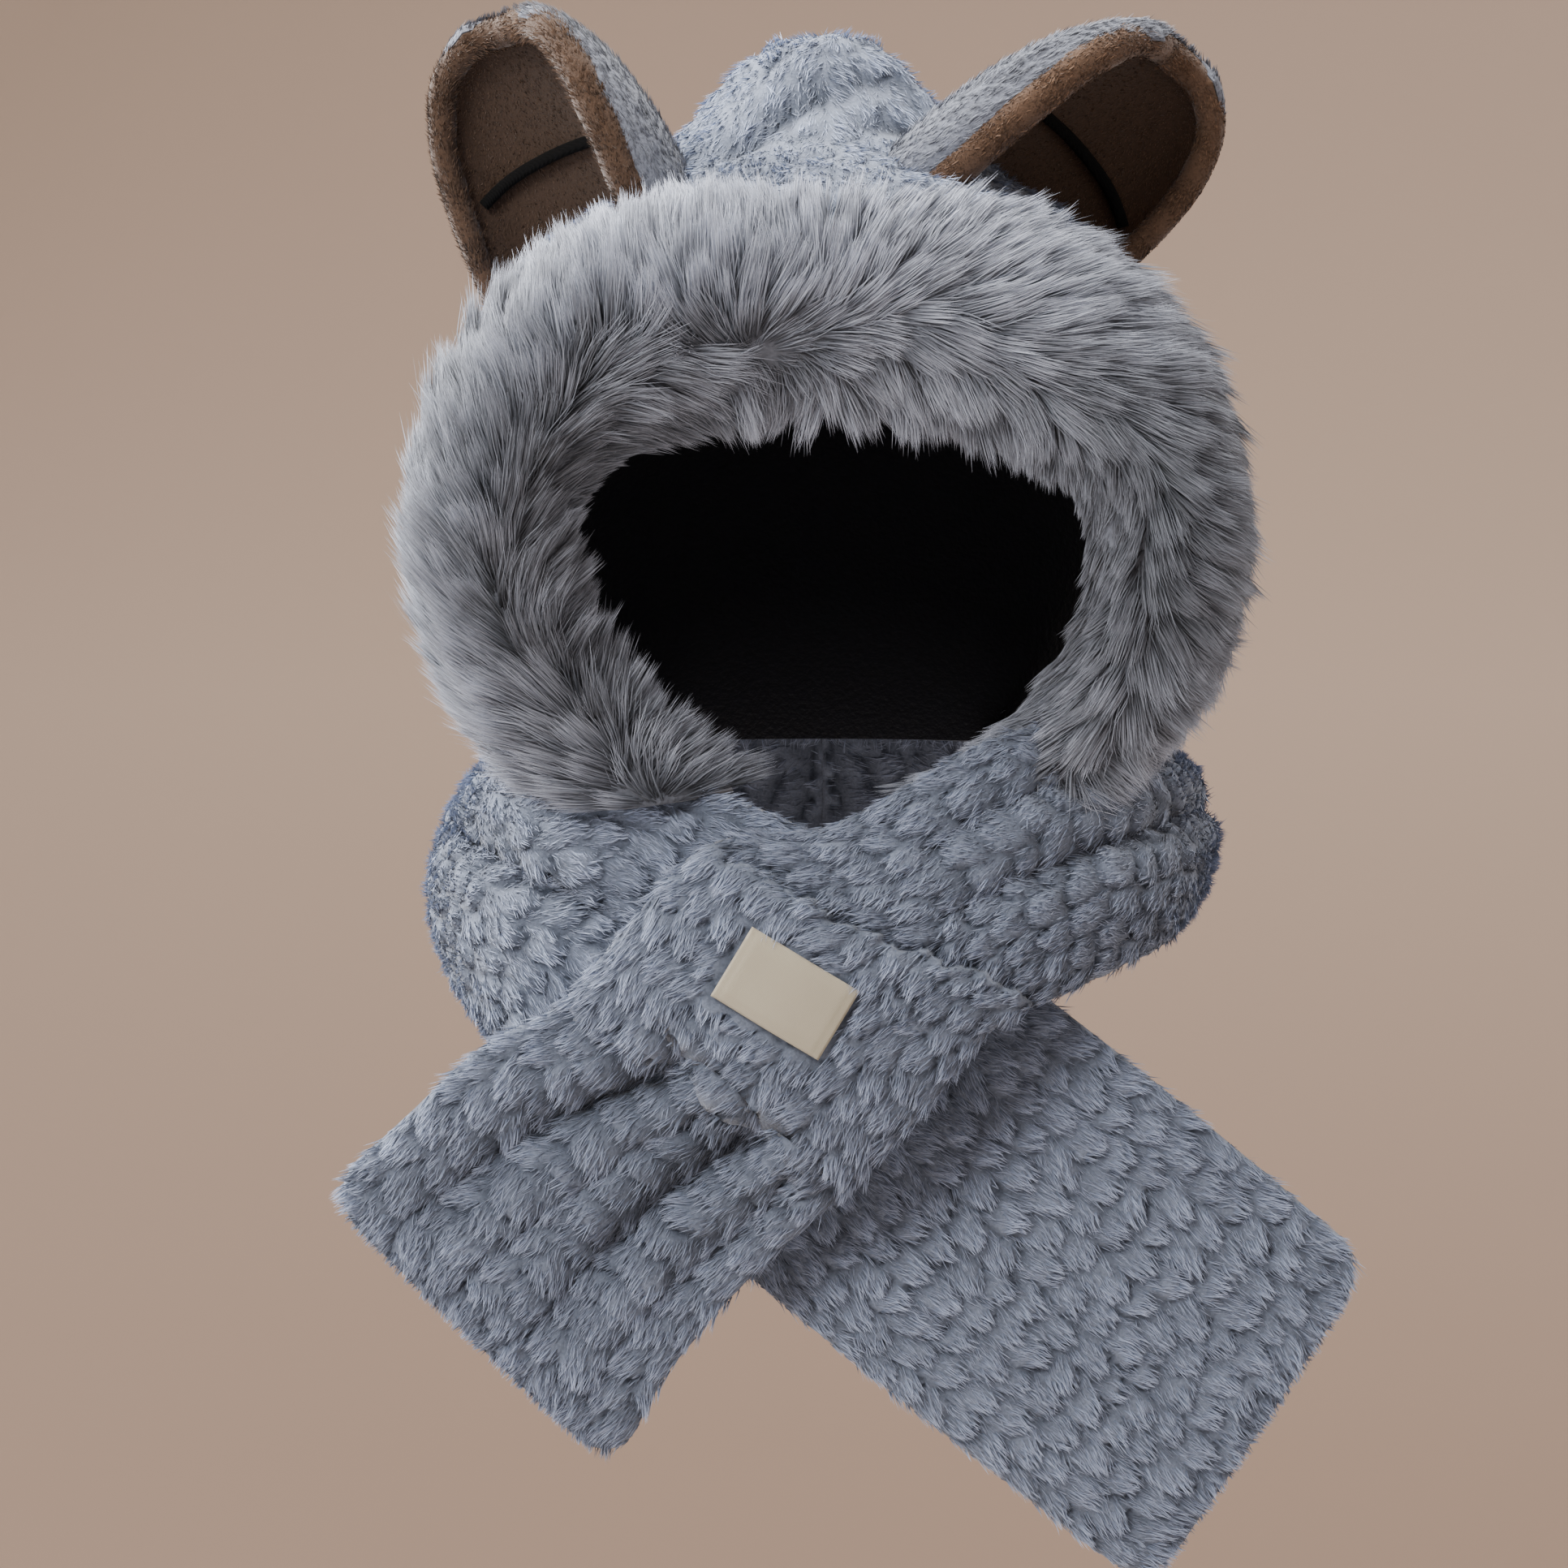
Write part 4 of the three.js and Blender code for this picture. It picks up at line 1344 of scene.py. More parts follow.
class HoodPiece:
    """The hood's shell, lining and trim, with their pile."""

    def __init__(self, shaders: Shaders) -> None:
        """The hood's pieces.

        Args:
            shaders: the shared finishes.
        """
        self.hood = Hood()
        self.shaders = shaders
        self.fur = shaders.pile("fur_strands", FUR_PILE)
        self.plush = shaders.pile("plush_strands", PLUSH_PILE)

    @staticmethod
    def spread(u: np.ndarray, v: np.ndarray) -> tuple[np.ndarray, np.ndarray]:
        """Millimetres along and across the hood's cloth, for its tufts."""
        return np.abs(u - HOOD_TURN) * HOOD_ALONG + 120.0 * np.abs(v), v * HOOD_ACROSS

    @staticmethod
    def trim_edge(v: np.ndarray) -> np.ndarray:
        """Where the trim's outer seam runs: nearer to the rim at the top of the head."""
        return TRIM_END - 0.085 * bell(v, 0, 0.22)

    def rise(self, u: np.ndarray, v: np.ndarray) -> tuple[np.ndarray, np.ndarray]:
        """Height of the tufts over the hood's face, and their tone: painted shade in the grooves
        and creases, and painted light on the crown.

        Args:
            u: shares along.
            v: shares across.

        Returns:
            Both values, one per place.
        """
        height = TUFTS.height(*self.spread(u, v))
        fade = np.clip((u - self.trim_edge(v) + 0.03) / 0.03, 0, 1)
        point = self.hood.point(u, v)
        crown = np.exp(-(((point[:, 0] + 4) / 60) ** 4)) * (point[:, 2] > -90)
        crease = np.zeros(len(u))
        for *line, depth, width in CROWN_CREASES:
            along, off = beside_line(point[:, 0], point[:, 1], line)
            ends = np.sin(math.pi * np.clip(along, 0, 1)) ** 0.6
            crease = crease + crown * depth * ends * bell(off, 0, width)
        rise = TUFTS.depth * (1 - 0.4 * crown) * (height - 0.55) - crease
        # the tone is darker low in the tufts and in the creases, painted shade, and lighter on the
        # crown, painted light from above
        return fade * rise, 0.06 + 0.8 * height - 0.17 * crease + 0.2 * crown

    def wall(
        self, name: str, shape: tuple[int, int], faces: tuple, material: bpy.types.Material,
        spans: tuple = ((0, 1), (-1, 1)), trimmed: bool = False,
    ) -> bpy.types.Object:
        """A wall of the hood between an outer and an inner face.

        Args:
            name: the object's name.
            shape: grid lines along and across the outer face.
            faces: function of the shares that gives the outer face's rise and tone, and the
                rise of the inner face.
            material: the finish.
            spans: first and last shares along and across.
            trimmed: whether it ends at the trim's seam.

        Returns:
            The object.
        """
        outer_face, inner_rise = faces
        sewing = Sewing()
        shape = tuple(max(6, int(lines * FINE)) for lines in shape)
        u, v = grid_shares(*spans, *shape)
        if not trimmed and name == "hood_plush":
            # few grid lines where the trim hides the shell
            u = np.interp(u, [0, 0.04, 1], [0, 0.19, 1])
        u = u * self.trim_edge(v) / TRIM_END if trimmed else u
        rise, tone = outer_face(u, v)
        outer = sewing.grid(self.hood.raised(u, v, rise), tone, shape, OUTER_BOX)
        coarse = tuple(max(6, lines // 3) for lines in shape)
        u, v = grid_shares(*spans, *coarse)
        u = u * self.trim_edge(v) / TRIM_END if trimmed else u
        inner_points = self.hood.raised(u, v, inner_rise)
        inner = sewing.grid(inner_points, 0.4, coarse, INNER_BOX)
        sewing.close(outer, inner, WALL_JOINS)
        return sewing.make(name, material)

    def shell(self) -> list[bpy.types.Object]:
        """The plush shell and its pile.

        Returns:
            The objects.
        """
        cloth = self.shaders.cloth("plush_cloth", PLUSH_CLOTH)
        body = self.wall("hood_plush", (118, 230), (self.rise, -HOOD_WALL), cloth)
        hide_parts("hood_shell")
        spec = quickened(replace(PLUSH_HABIT, count=HOOD_STRANDS, seed=11))

        def weight(u: np.ndarray, v: np.ndarray) -> np.ndarray:
            """More strands where the front view sees them."""
            hidden = u < self.trim_edge(v) - 0.01
            return np.where(hidden, 0.0, np.where(u < 0.8, 1.0, 0.6)) * (1 + 0.5 * (abs(v) < 0.45))

        u, v = scatter(self.hood, ((0.18, 1.0), (-1, 1)), spec.count, spec.seed, weight)
        along, across = self.hood.slopes(u, v)
        points = self.hood.raised(u, v, self.rise(u, v)[0] - ROOT_DEPTH)
        away = np.sign(u - HOOD_TURN)[:, None]
        down = unit(along * away + across * (0.35 * np.sign(v))[:, None])
        ground = (points, self.hood.normal(u, v), down, across)
        # strands take the cloth's painted shade in the creases and its painted light on the crown
        shade = 0.55 * TUFTS.height(*self.spread(u, v)) - 0.72 * self.rise(u, v)[1] - 0.03
        return [body, plush_pile("hood_pile", ground, self.spread(u, v), spec, self.plush, shade)]

    def lining(self) -> bpy.types.Object:
        """The dark fleece lining.

        Returns:
            The object.
        """
        face = -HOOD_WALL - SEAM_GAP

        def outer(u: np.ndarray, v: np.ndarray) -> tuple[np.ndarray, np.ndarray]:
            """Plain outer face."""
            return np.full(len(u), face), np.full(len(u), 0.5)

        cloth = self.shaders.cloth("fleece_cloth", FLEECE_CLOTH)
        body = self.wall("hood_fleece", (45, 80), (outer, face - LINING_WALL), cloth)
        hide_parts("hood_lining")
        return body

    def trim(self, side: Side) -> list[bpy.types.Object]:
        """Half of the long-pile trim.

        Args:
            side: the half.

        Returns:
            The objects.
        """
        name = side.name.lower()
        span = (-1, -0.003) if side is Side.LEFT else (0.003, 1)
        low = 2 * SEAM_GAP

        def outer(u: np.ndarray, v: np.ndarray) -> tuple[np.ndarray, np.ndarray]:
            """Face of the backing, rounded down at its edges.

            Args:
                u: shares along the hood.
                v: shares across it.

            Returns:
                The face's rise and its tone.
            """
            rounded = edge_round(np.minimum(u, self.trim_edge(v) - u) * 330, 6.0)
            seam = edge_round(np.abs(v) * 340, 4.0)
            return low + 0.3 + (TRIM_BACKING - 0.5) * rounded * seam, 0.6 + 0.3 * rounded

        cloth = self.shaders.cloth(f"fur_cloth_{name}", FUR_CLOTH)
        body = self.wall(
            f"fur_backing_{name}", (20, 80), (outer, low), cloth, ((0, TRIM_END), span), True
        )
        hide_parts(f"fur_trim_{name}")
        return [body, self.trim_pile(side, span)]

    def trim_pile(self, side: Side, span: tuple[float, float]) -> bpy.types.Object:
        """Long pile of one half of the trim, swept round the face.

        Args:
            side: the half.
            span: first and last share across.

        Returns:
            The object.
        """
        spec = quickened(replace(FUR_HABIT, seed=FUR_HABIT.seed + side.value))
        edge = self.trim_edge

        def weight(u: np.ndarray, v: np.ndarray) -> np.ndarray:
            """More strands near the rim, which shows most, and none past the seam."""
            return np.where(u < 0.04, 1.5, 1.0) * (u < edge(v) - 0.001)

        u, v = scatter(self.hood, ((0.0, TRIM_END), span), spec.count, spec.seed, weight)
        rng = np.random.default_rng(spec.seed + 50)
        along, across = self.hood.slopes(u, v)
        turned = PARTING * edge(v) / TRIM_END + 0.018 * np.sin(v * 17)
        top = bell(v, 0, 0.3)
        outwards = np.tanh((u - turned) / (0.03 + 0.045 * top))
        sweep = np.where(outwards > 0, *(np.interp(v, SWEEP[:, 0], SWEEP[:, k]) for k in (1, 2)))
        sweep = sweep + 0.22 * np.sin(v * 23 + u * 30) * np.sin(v * 9 + 2)
        flow = unit(along * outwards[:, None] + across * sweep[:, None])
        share = u / edge(v)
        guard = rng.random(len(u)) < 0.35
        near_rim = np.clip(1 - u / 0.05, 0, 1)
        # tone of the fur: guard hairs are lighter, their own colour; lighter on top is painted
        # light, darker on both sides and where the strands stand up at the parting is painted
        # shade, and it grows lighter towards the seam and the lower ends
        frost_light_and_shade = 0.2 + 0.22 * share + 0.34 * bell(v, 0.04, 0.32)
        frost_light_and_shade = frost_light_and_shade + 0.18 * np.clip((np.abs(v) - 0.68) / 0.2, 0, 1)
        frost_light_and_shade = frost_light_and_shade - 0.42 * bell(v, 0.5, 0.26) - 0.22 * bell(v, -0.5, 0.24)
        frost_light_and_shade = frost_light_and_shade + 0.3 * bell(v, 0, 0.012) * (outwards < 0)
        frost_light_and_shade = frost_light_and_shade - 0.16 * (1 - np.abs(outwards)) * (1 - 0.8 * top) + 0.12 * guard
        corner = bell(np.abs(v), 0.47, 0.22)
        bundle = np.sin(v * 41 + 3 * np.sin(u * 40)) * np.sin(v * 27 + u * 55)
        roots = Roots(
            points=self.hood.raised(u, v, np.full(len(u), 2 * SEAM_GAP + TRIM_BACKING - 1.0)),
            normals=self.hood.normal(u, v),
            flows=flow,
            tones=frost_light_and_shade + 0.06 * bundle,
            lengths=spec.length * np.where(guard, 1.0, 0.72) * (1 - 0.15 * near_rim)
            * (1 - 0.3 * bell(v, 0, 0.15) * share)
            * (1 - 0.55 * corner * np.clip(-outwards, 0, 1))
            * (1 - 0.15 * np.clip((v - 0.3) / 0.2, 0, 1)),
            lifts=0.17 + (0.7 - 0.55 * top) * (1 - np.abs(outwards)) ** 1.5 + 0.1 * bundle,
        )
        return grow_pile(f"fur_pile_{side.name.lower()}", roots, spec, self.fur)


def quickened(spec: PileSpec) -> PileSpec:
    """Args:
        spec: the full spec.

    Returns:
        The spec to use.
    """
    return spec
    return replace(spec, count=spec.count // 4, width=spec.width * 1.7)


class ScarfStrip:
    """A tube of tufted plush along a strip, with its pile."""

    def __init__(self, name: str, node: str, surface: Strip, thickness: float) -> None:
        """A strip of the scarf.

        Args:
            name: name of its objects.
            node: the solid that it stands for.
            surface: its middle face.
            thickness: its thickness with the pile.
        """
        self.name = name
        self.node = node
        self.surface = surface
        self.thickness = thickness
        self.total = float(surface.lengths[-1])

    def ends(self, u: np.ndarray) -> tuple[np.ndarray, np.ndarray]:
        """Thickness and width shares near the ends.

        Args:
            u: shares along the strip.

        Returns:
            The share of the thickness and of the width.
        """
        travelled = self.surface.travelled(u)
        near = edge_round(travelled, START_ROUND)
        far = edge_round(self.total - travelled, END_ROUND)
        corner = edge_round(self.total - travelled, CORNER_ROUND)
        return (0.7 + 0.3 * near) * (0.14 + 0.86 * far), 1 - 0.26 * (1 - corner)

    def pressed(self, points: np.ndarray) -> np.ndarray:
        """How much the label presses the cloth down.

        Args:
            points: places on the cloth.

        Returns:
            From 0 clear of the label to 1 under it.
        """
        if self.node != "scarf_right":
            return np.zeros(len(points))
        centre, right, up, normal = label_axes()
        offset = points - centre
        aside = (np.abs(offset @ right) - LABEL_HALF[0]) / 2.5
        above = (np.abs(offset @ up) - LABEL_HALF[1]) / 2.5
        under = 1 - np.clip(np.maximum(aside, above), 0, 1)
        return under * (np.abs(offset @ normal) < 25)

    def lapped(self, u: np.ndarray, v: np.ndarray) -> tuple[np.ndarray, np.ndarray, np.ndarray]:
        """The layer that laps over the band at the crossing, and the painted shade in the folds and
        under the layer's edges.

        Args:
            u: shares along the strip.
            v: shares across it.

        Returns:
            Which places are on the layer, the added rise, and the painted shade.
        """
        shade = 0.045 * self.surface.creased(u, v)
        if self.node != "scarf_right":
            return np.zeros(len(u)), np.zeros(len(u)), shade
        s = self.surface.travelled(u)
        w = v * self.surface.width / 2
        ripple = 1.8 * np.sin(w * 0.37) + 1.0 * np.sin(w * 0.93 + 1)
        edges = [
            self.surface.travelled(np.interp(v, LAYER_EDGES[:, 0], LAYER_EDGES[:, k])) + ripple
            for k in (1, 2)
        ]
        inside = np.clip((s - edges[0]) / 3.5, 0, 1) * np.clip((edges[1] - s) / 3.5, 0, 1)
        inside = eased(inside)
        away = np.where(s < edges[0], (edges[0] - s) / 10.0, np.maximum(s - edges[1], 0) / 13.0)
        beyond = np.where((s < edges[0]) | (s > edges[1]), np.exp(-away), 0.0)
        # the band is painted darker in the creases and where it runs under the layer's edges:
        # painted shade
        return inside, 2.8 * inside - 3.6 * beyond, shade + 0.34 * beyond**3 * (1 - inside)

    def tuft_place(self, u: np.ndarray, v: np.ndarray, outer: bool) -> tuple:
        """Millimetres along and across the cloth, for its tufts.

        Args:
            u: shares along the strip.
            v: shares across it.
            outer: the outer face, or the inner one.

        Returns:
            Both lengths.
        """
        s, w = self.surface.travelled(u), v * self.surface.width / 2
        if not outer:
            return s, w + 500
        inside = self.lapped(u, v)[0] > 0.5
        return np.where(inside, s * 1.15 + 2005, s), np.where(inside, w * 1.12 + 4, w)

    def place(self, u: np.ndarray, v: np.ndarray, outer: bool) -> tuple[np.ndarray, np.ndarray]:
        """Points of the tufted cloth and their tufts' heights.

        Args:
            u: shares along the strip.
            v: shares across it.
            outer: the outer face, or the inner one.

        Returns:
            The points and the heights.
        """
        thin, narrow = self.ends(u)
        side = 1.0 if outer else -1.0
        cosine = np.clip(np.abs(v), 0, 1) ** (1 / 0.75)
        edge = np.sqrt(np.sqrt(np.clip(1 - cosine**2, 0, 1)))
        height = TUFTS.height(*self.tuft_place(u, v, outer))
        facing = 0.7 + 0.3 * np.abs(self.surface.normal(u, v)[:, 1])
        depth = min(TUFTS.depth, 0.3 * self.thickness) * facing
        lapped = self.lapped(u, v)[1] if outer else 0.0
        wide = v * narrow
        middle = self.surface.point(u, wide)
        pressed = self.pressed(middle) if outer else 0.0
        half = 0.43 * self.thickness - 0.8 * pressed + lapped
        rise = side * edge * thin * (half + depth * (height - 0.7) * (1 - 0.8 * pressed))
        placed = middle + self.surface.normal(u, wide) * rise[:, None]
        if self.name != "fold":
            start = np.clip(1 - self.surface.travelled(u) / 8.0, 0, 1)[:, None]
            placed[:, 0:1] += -self.surface.side * start * 0.4 - placed[:, 0:1] * start**8
        return placed, height

    def body(self, material: bpy.types.Material) -> bpy.types.Object:
        """The cloth.

        Args:
            material: its finish.

        Returns:
            The object.
        """
        fine = FINE * (1.0 if self.thickness > 10 else 0.5)
        rows = int(self.total / 1.8 * fine)
        near_ends = np.array([0.5, 1.2, 2.2, 3.6, 5.5, 8.0]) / self.total
        shares = np.concatenate([np.linspace(0, 1, rows), near_ends, 1 - near_ends])
        along = self.surface.lengths / self.total
        shares = np.unique(np.interp(shares, along, self.surface.shares))
        front = np.linspace(1, -1, int(87 * fine))
        back = np.linspace(-1, 1, int(31 * fine))
        points, tones = [], []
        for across, outer in ((front, True), (np.append(back[1:], 1.0)[:-1], False)):
            u, v = crossed(shares, across)
            placed, height = self.place(u, v, outer)
            # the tone falls low in the tufts and in the folds and creases: painted shade
            shade = self.lapped(u, v)[2] if outer else 0.0
            points.append(placed.reshape(len(shares), len(across), 3))
            tones.append((0.8 * height - shade).reshape(len(shares), len(across)))
        ring = np.concatenate(points, axis=1)
        tone = np.concatenate(tones, axis=1)
        shape = ring.shape[:2]
        sewing = Sewing()
        index = sewing.grid(ring.reshape(-1, 3), tone.ravel(), shape, TUBE_BOX)
        sewing.cap(index[0], len(front), TUBE_CAPS[0], 0.01)
        sewing.cap(index[-1], len(front), TUBE_CAPS[1], 0.01)
        return sewing.make(f"{self.name}_plush", material)

    def pile(self, material: bpy.types.Material, spec: PileSpec) -> bpy.types.Object:
        """The pile on both faces.

        Args:
            material: its finish.
            spec: its size and habit.

        Returns:
            The object.
        """
        spec = quickened(spec)
        u, v = scatter(self.surface, ((0.0, 1.0), (-1, 1)), spec.count, spec.seed)
        rng = np.random.default_rng(spec.seed + 7)
        outer = rng.random(len(u)) < 0.8
        clear = ~outer | (self.pressed(self.surface.point(u, v)) < 0.35)
        u, v, outer = u[clear], v[clear], outer[clear]
        along, across = self.surface.slopes(u, v)
        normal = self.surface.normal(u, v)
        front, _ = self.place(u, v, True)
        back, _ = self.place(u, v, False)
        side = np.where(outer, 1.0, -1.0)[:, None]
        rim = np.clip((np.abs(v) - 0.8) / 0.2, 0, 1)[:, None] * np.sign(v)[:, None]
        points = np.where(outer[:, None], front, back) - normal * side * ROOT_DEPTH
        ground = (points, unit(normal * side + across * rim * 0.45), along, across)
        tuft = tuple(
            np.where(outer, front_place, back_place)
            for front_place, back_place in zip(
                self.tuft_place(u, v, True), self.tuft_place(u, v, False)
            )
        )
        shade = np.where(outer, self.lapped(u, v)[2], 0.0)
        longest = 2.4 + 0.5 * (self.total - self.surface.travelled(u))
        return plush_pile(f"{self.name}_pile", ground, tuft, spec, material, shade, longest)


class Roll(Surface):
    """The rolled edge of an ear's lining: u along it from the outer foot, v round it."""

    low_v, high_v = -9.0, 9.0

    def __init__(self, ear: Ear, side: Side) -> None:
        """The roll of an ear.

        Args:
            ear: the ear's middle face.
            side: the ear's side.
        """
        self.ear = ear
        self.flip = -float(side.value)
        angle = np.linspace(0.02, math.pi - 0.02, 400)
        around = 0.5 - 0.5 * np.sign(np.cos(angle)) * np.abs(np.cos(angle)) ** 0.36
        up = 0.925 * np.sin(angle) ** 0.62
        centre = ear.raised(up, around, -1.6)
        steps = np.linalg.norm(np.diff(centre, axis=0), axis=1)
        travelled = np.concatenate([[0], np.cumsum(steps)])
        self.length = float(travelled[-1])
        even = np.linspace(0, 1, 240) * self.length
        self.shares = even / self.length
        self.centre = np.stack([np.interp(even, travelled, centre[:, k]) for k in range(3)], -1)

    def middle(self, u: np.ndarray) -> np.ndarray:
        """Points of the roll's middle line."""
        return np.stack([np.interp(u, self.shares, self.centre[:, k]) for k in range(3)], -1)

    def radius(self, u: np.ndarray) -> np.ndarray:
        """Radius of the roll: slimmer on the outer edge, fullest on the inner one."""
        places = [0, 0.12, 0.4, 0.55, 0.75, 0.95, 1]
        return np.interp(u, places, [4.0, 5.2, 5.6, 6.4, 7.4, 7.2, 5.2])

    def point(self, u: np.ndarray, v: np.ndarray) -> np.ndarray:
        """Points of the roll's face.

        Args:
            u: shares along the face.
            v: shares across it.

        Returns:
            One point per pair, in millimetres round the datum.
        """
        place = self.middle(u)
        tangent = unit(self.middle(u + 0.01) - self.middle(u - 0.01))
        beside = unit(np.cross(tangent, np.broadcast_to(self.ear.front, tangent.shape)))
        front = unit(np.cross(beside, tangent))
        turn = 2 * math.pi * v[:, None]
        return place + self.radius(u)[:, None] * (np.cos(turn) * front + np.sin(turn) * beside)


class EarPieces:
    """An ear: its plush, its lining with the rolled edge, the cord and the pile on each."""

    def __init__(self, place: EarPlace) -> None:
        """An ear at its place.

        Args:
            place: where it stands.
        """
        self.name = place.name
        self.ear = Ear(place)
        self.roll = Roll(self.ear, place.side)
        self.side = place.side

    def edge_distance(self, u: np.ndarray, v: np.ndarray) -> np.ndarray:
        """Millimetres from the ear's free edges."""
        around = np.interp(u, [0, 0.5, 0.8, 1.0], [150.0, 125.0, 70.0, 30.0])
        return np.minimum(np.minimum(v, 1 - v) * around, (1 - u) * 120.0)

    def outer_rise(self, u: np.ndarray, v: np.ndarray) -> np.ndarray:
        """Height of the plush over the ear's middle face.

        Args:
            u: shares up the ear.
            v: shares round the cup.

        Returns:
            One height per place.
        """
        rounded = edge_round(self.edge_distance(u, v), 8.0)
        ridge = 0.0
        if self.side is Side.RIGHT:
            ridge = 1.3 * bell(v, 0.87, 0.018) * np.clip((u - 0.2) * 4, 0, 1)
        return 0.4 + 5.0 * rounded + ridge

    def inner_rise(self, u: np.ndarray, v: np.ndarray) -> np.ndarray:
        """Height of the lining's face, inwards."""
        floor = self.ear.cup_depth(u) * 0.7
        return -(0.4 + floor * edge_round(self.edge_distance(u, v), 9.0))

    def pillow(
        self, name: str, material: bpy.types.Material, faces: tuple, shape: tuple[int, int],
        rolled: bool = False,
    ) -> bpy.types.Object:
        """A closed layer between two faces over the ear.

        Args:
            name: the object's name.
            material: its finish.
            faces: function of the shares for the shown face's rise, and the hidden face's rise.
            shape: grid lines up and round.
            rolled: whether its edge is rolled.

        Returns:
            The object.
        """
        shown, hidden = faces
        shape = tuple(int(lines * FINE) for lines in shape)
        sewing = Sewing()
        bend = np.linspace(0, 1, shape[1])
        across = 0.5 - 0.5 * np.cos(np.pi * bend)
        across = 0.5 * across + 0.5 * bend
        up = 1 - (1 - np.linspace(0, 1, shape[0])) ** 1.25
        u, v = crossed(up, across)
        distance = self.edge_distance(u, v)
        tone = np.clip(1.0 - distance / 26.0, 0.3, 1.0)
        # the left ear's lining is painted darker than the right one's: painted shade
        tone = tone * (0.5 if rolled and self.side is Side.LEFT else 1.0)
        front = sewing.grid(self.ear.raised(u, v, shown(u, v)), tone, shape, FRONT_BOX)
        few = (shape[0] // 2, shape[1] // 2)
        u, v = crossed(
            np.interp(np.linspace(0, 1, few[0]), np.linspace(0, 1, shape[0]), up),
            np.interp(np.linspace(0, 1, few[1]), bend, across),
        )
        back_points = self.ear.raised(u, v, np.full(len(u), hidden))
        back = sewing.grid(back_points, 0.3, few, BACK_BOX)
        sewing.close(front, back, EAR_JOINS)
        if rolled:
            rows, columns = int(120 * FINE), int(26 * FINE)
            u, v = grid_shares((0, 1), (0, 1), rows, columns)
            wave = 0.35 * np.sin(u * 61) * np.sin(v * 2 * math.pi + u * 9)
            points = self.roll.raised(u, v, wave)
            # the left ear's rolled edge is painted darker than the right one's: painted shade
            roll_tone_left_shaded = 0.55 if self.side is Side.LEFT else 1.0
            tube = sewing.grid(points, roll_tone_left_shaded, (rows, columns), ROLL_BOX)
            sewing.cap(tube[0], (columns + 1) // 2, ROLL_CAPS[0], 0.006)
            sewing.cap(tube[-1], (columns + 1) // 2, ROLL_CAPS[1], 0.006)
        return sewing.make(name, material)

    def pile(
        self, name: str, material: bpy.types.Material, spec: PileSpec, inwards: bool
    ) -> bpy.types.Object:
        """Pile over one face of the ear.

        Args:
            name: the object's name.
            material: its finish.
            spec: its size and habit.
            inwards: on the lining, or on the plush.

        Returns:
            The object.
        """
        spec = quickened(spec)
        u, v = scatter(self.ear, ((0.0, 1.0), (0.0, 1.0)), spec.count, spec.seed)
        along, across = self.ear.slopes(u, v)
        normal = self.ear.normal(u, v)
        distance = self.edge_distance(u, v)
        near = np.clip(1 - distance / 9.0, 0, 1)
        outline = np.where(v < 0.5, -1.0, 1.0)[:, None] * across
        if inwards:
            points = self.ear.raised(u, v, self.inner_rise(u, v) + 0.4)
            normal = -normal
            # the left ear's lining nap is painted darker than the right one's, painted shade; on
            # the left it grows lighter towards one edge and up the ear, painted light
            base = 0.04 if self.side is Side.LEFT else 0.32
            tones = base + 0.2 * np.clip(1 - distance / 15.0, 0, 1)
            tones = tones + 0.12 * (self.side is Side.LEFT) * (1 - v) * (0.4 + 0.6 * u)
        else:
            points = self.ear.raised(u, v, self.outer_rise(u, v) - 0.4)
            # the left ear's plush nap is painted darker than the right one's: painted shade
            base = 0.14 if self.side is Side.LEFT else 0.36
            tones = base + 0.12 * np.clip(1 - distance / 12.0, 0, 1)
        roots = Roots(
            points=points,
            normals=unit(normal + outline * (near * (0.8 if inwards else 0.5))[:, None]),
            flows=unit(along + 0.25 * across),
            tones=tones,
            lengths=spec.length * (1 - (0.0 if inwards else 0.5) * near),
            lifts=np.full(len(u), 0.9 if inwards else 0.4),
        )
        return grow_pile(name, roots, spec, material)

    def roll_pile(self, material: bpy.types.Material, spec: PileSpec) -> bpy.types.Object:
        """Pile on the lining's rolled edge.

        Args:
            material: its finish.
            spec: its size and habit.

        Returns:
            The object.
        """
        spec = quickened(spec)
        u, v = scatter(self.roll, ((0.0, 1.0), (0.0, 1.0)), spec.count, spec.seed)
        along, _ = self.roll.slopes(u, v)
        normal = self.roll.normal(u, v)
        # the left ear's roll nap is painted darker than the right one's, painted shade, and both
        # are lighter at the ear's top, painted light
        roots = Roots(
            points=self.roll.raised(u, v, np.full(len(u), -0.3)),
            normals=normal,
            flows=along * np.where(u < 0.5, 1.0, -1.0)[:, None],
            tones=(0.02 if self.side is Side.LEFT else 0.74) + 0.2 * bell(u, 0.52, 0.22),
            lengths=np.full(len(u), spec.length),
            lifts=np.full(len(u), 0.8),
        )
        return grow_pile(f"ear_{self.name}_roll_nap", roots, spec, material)

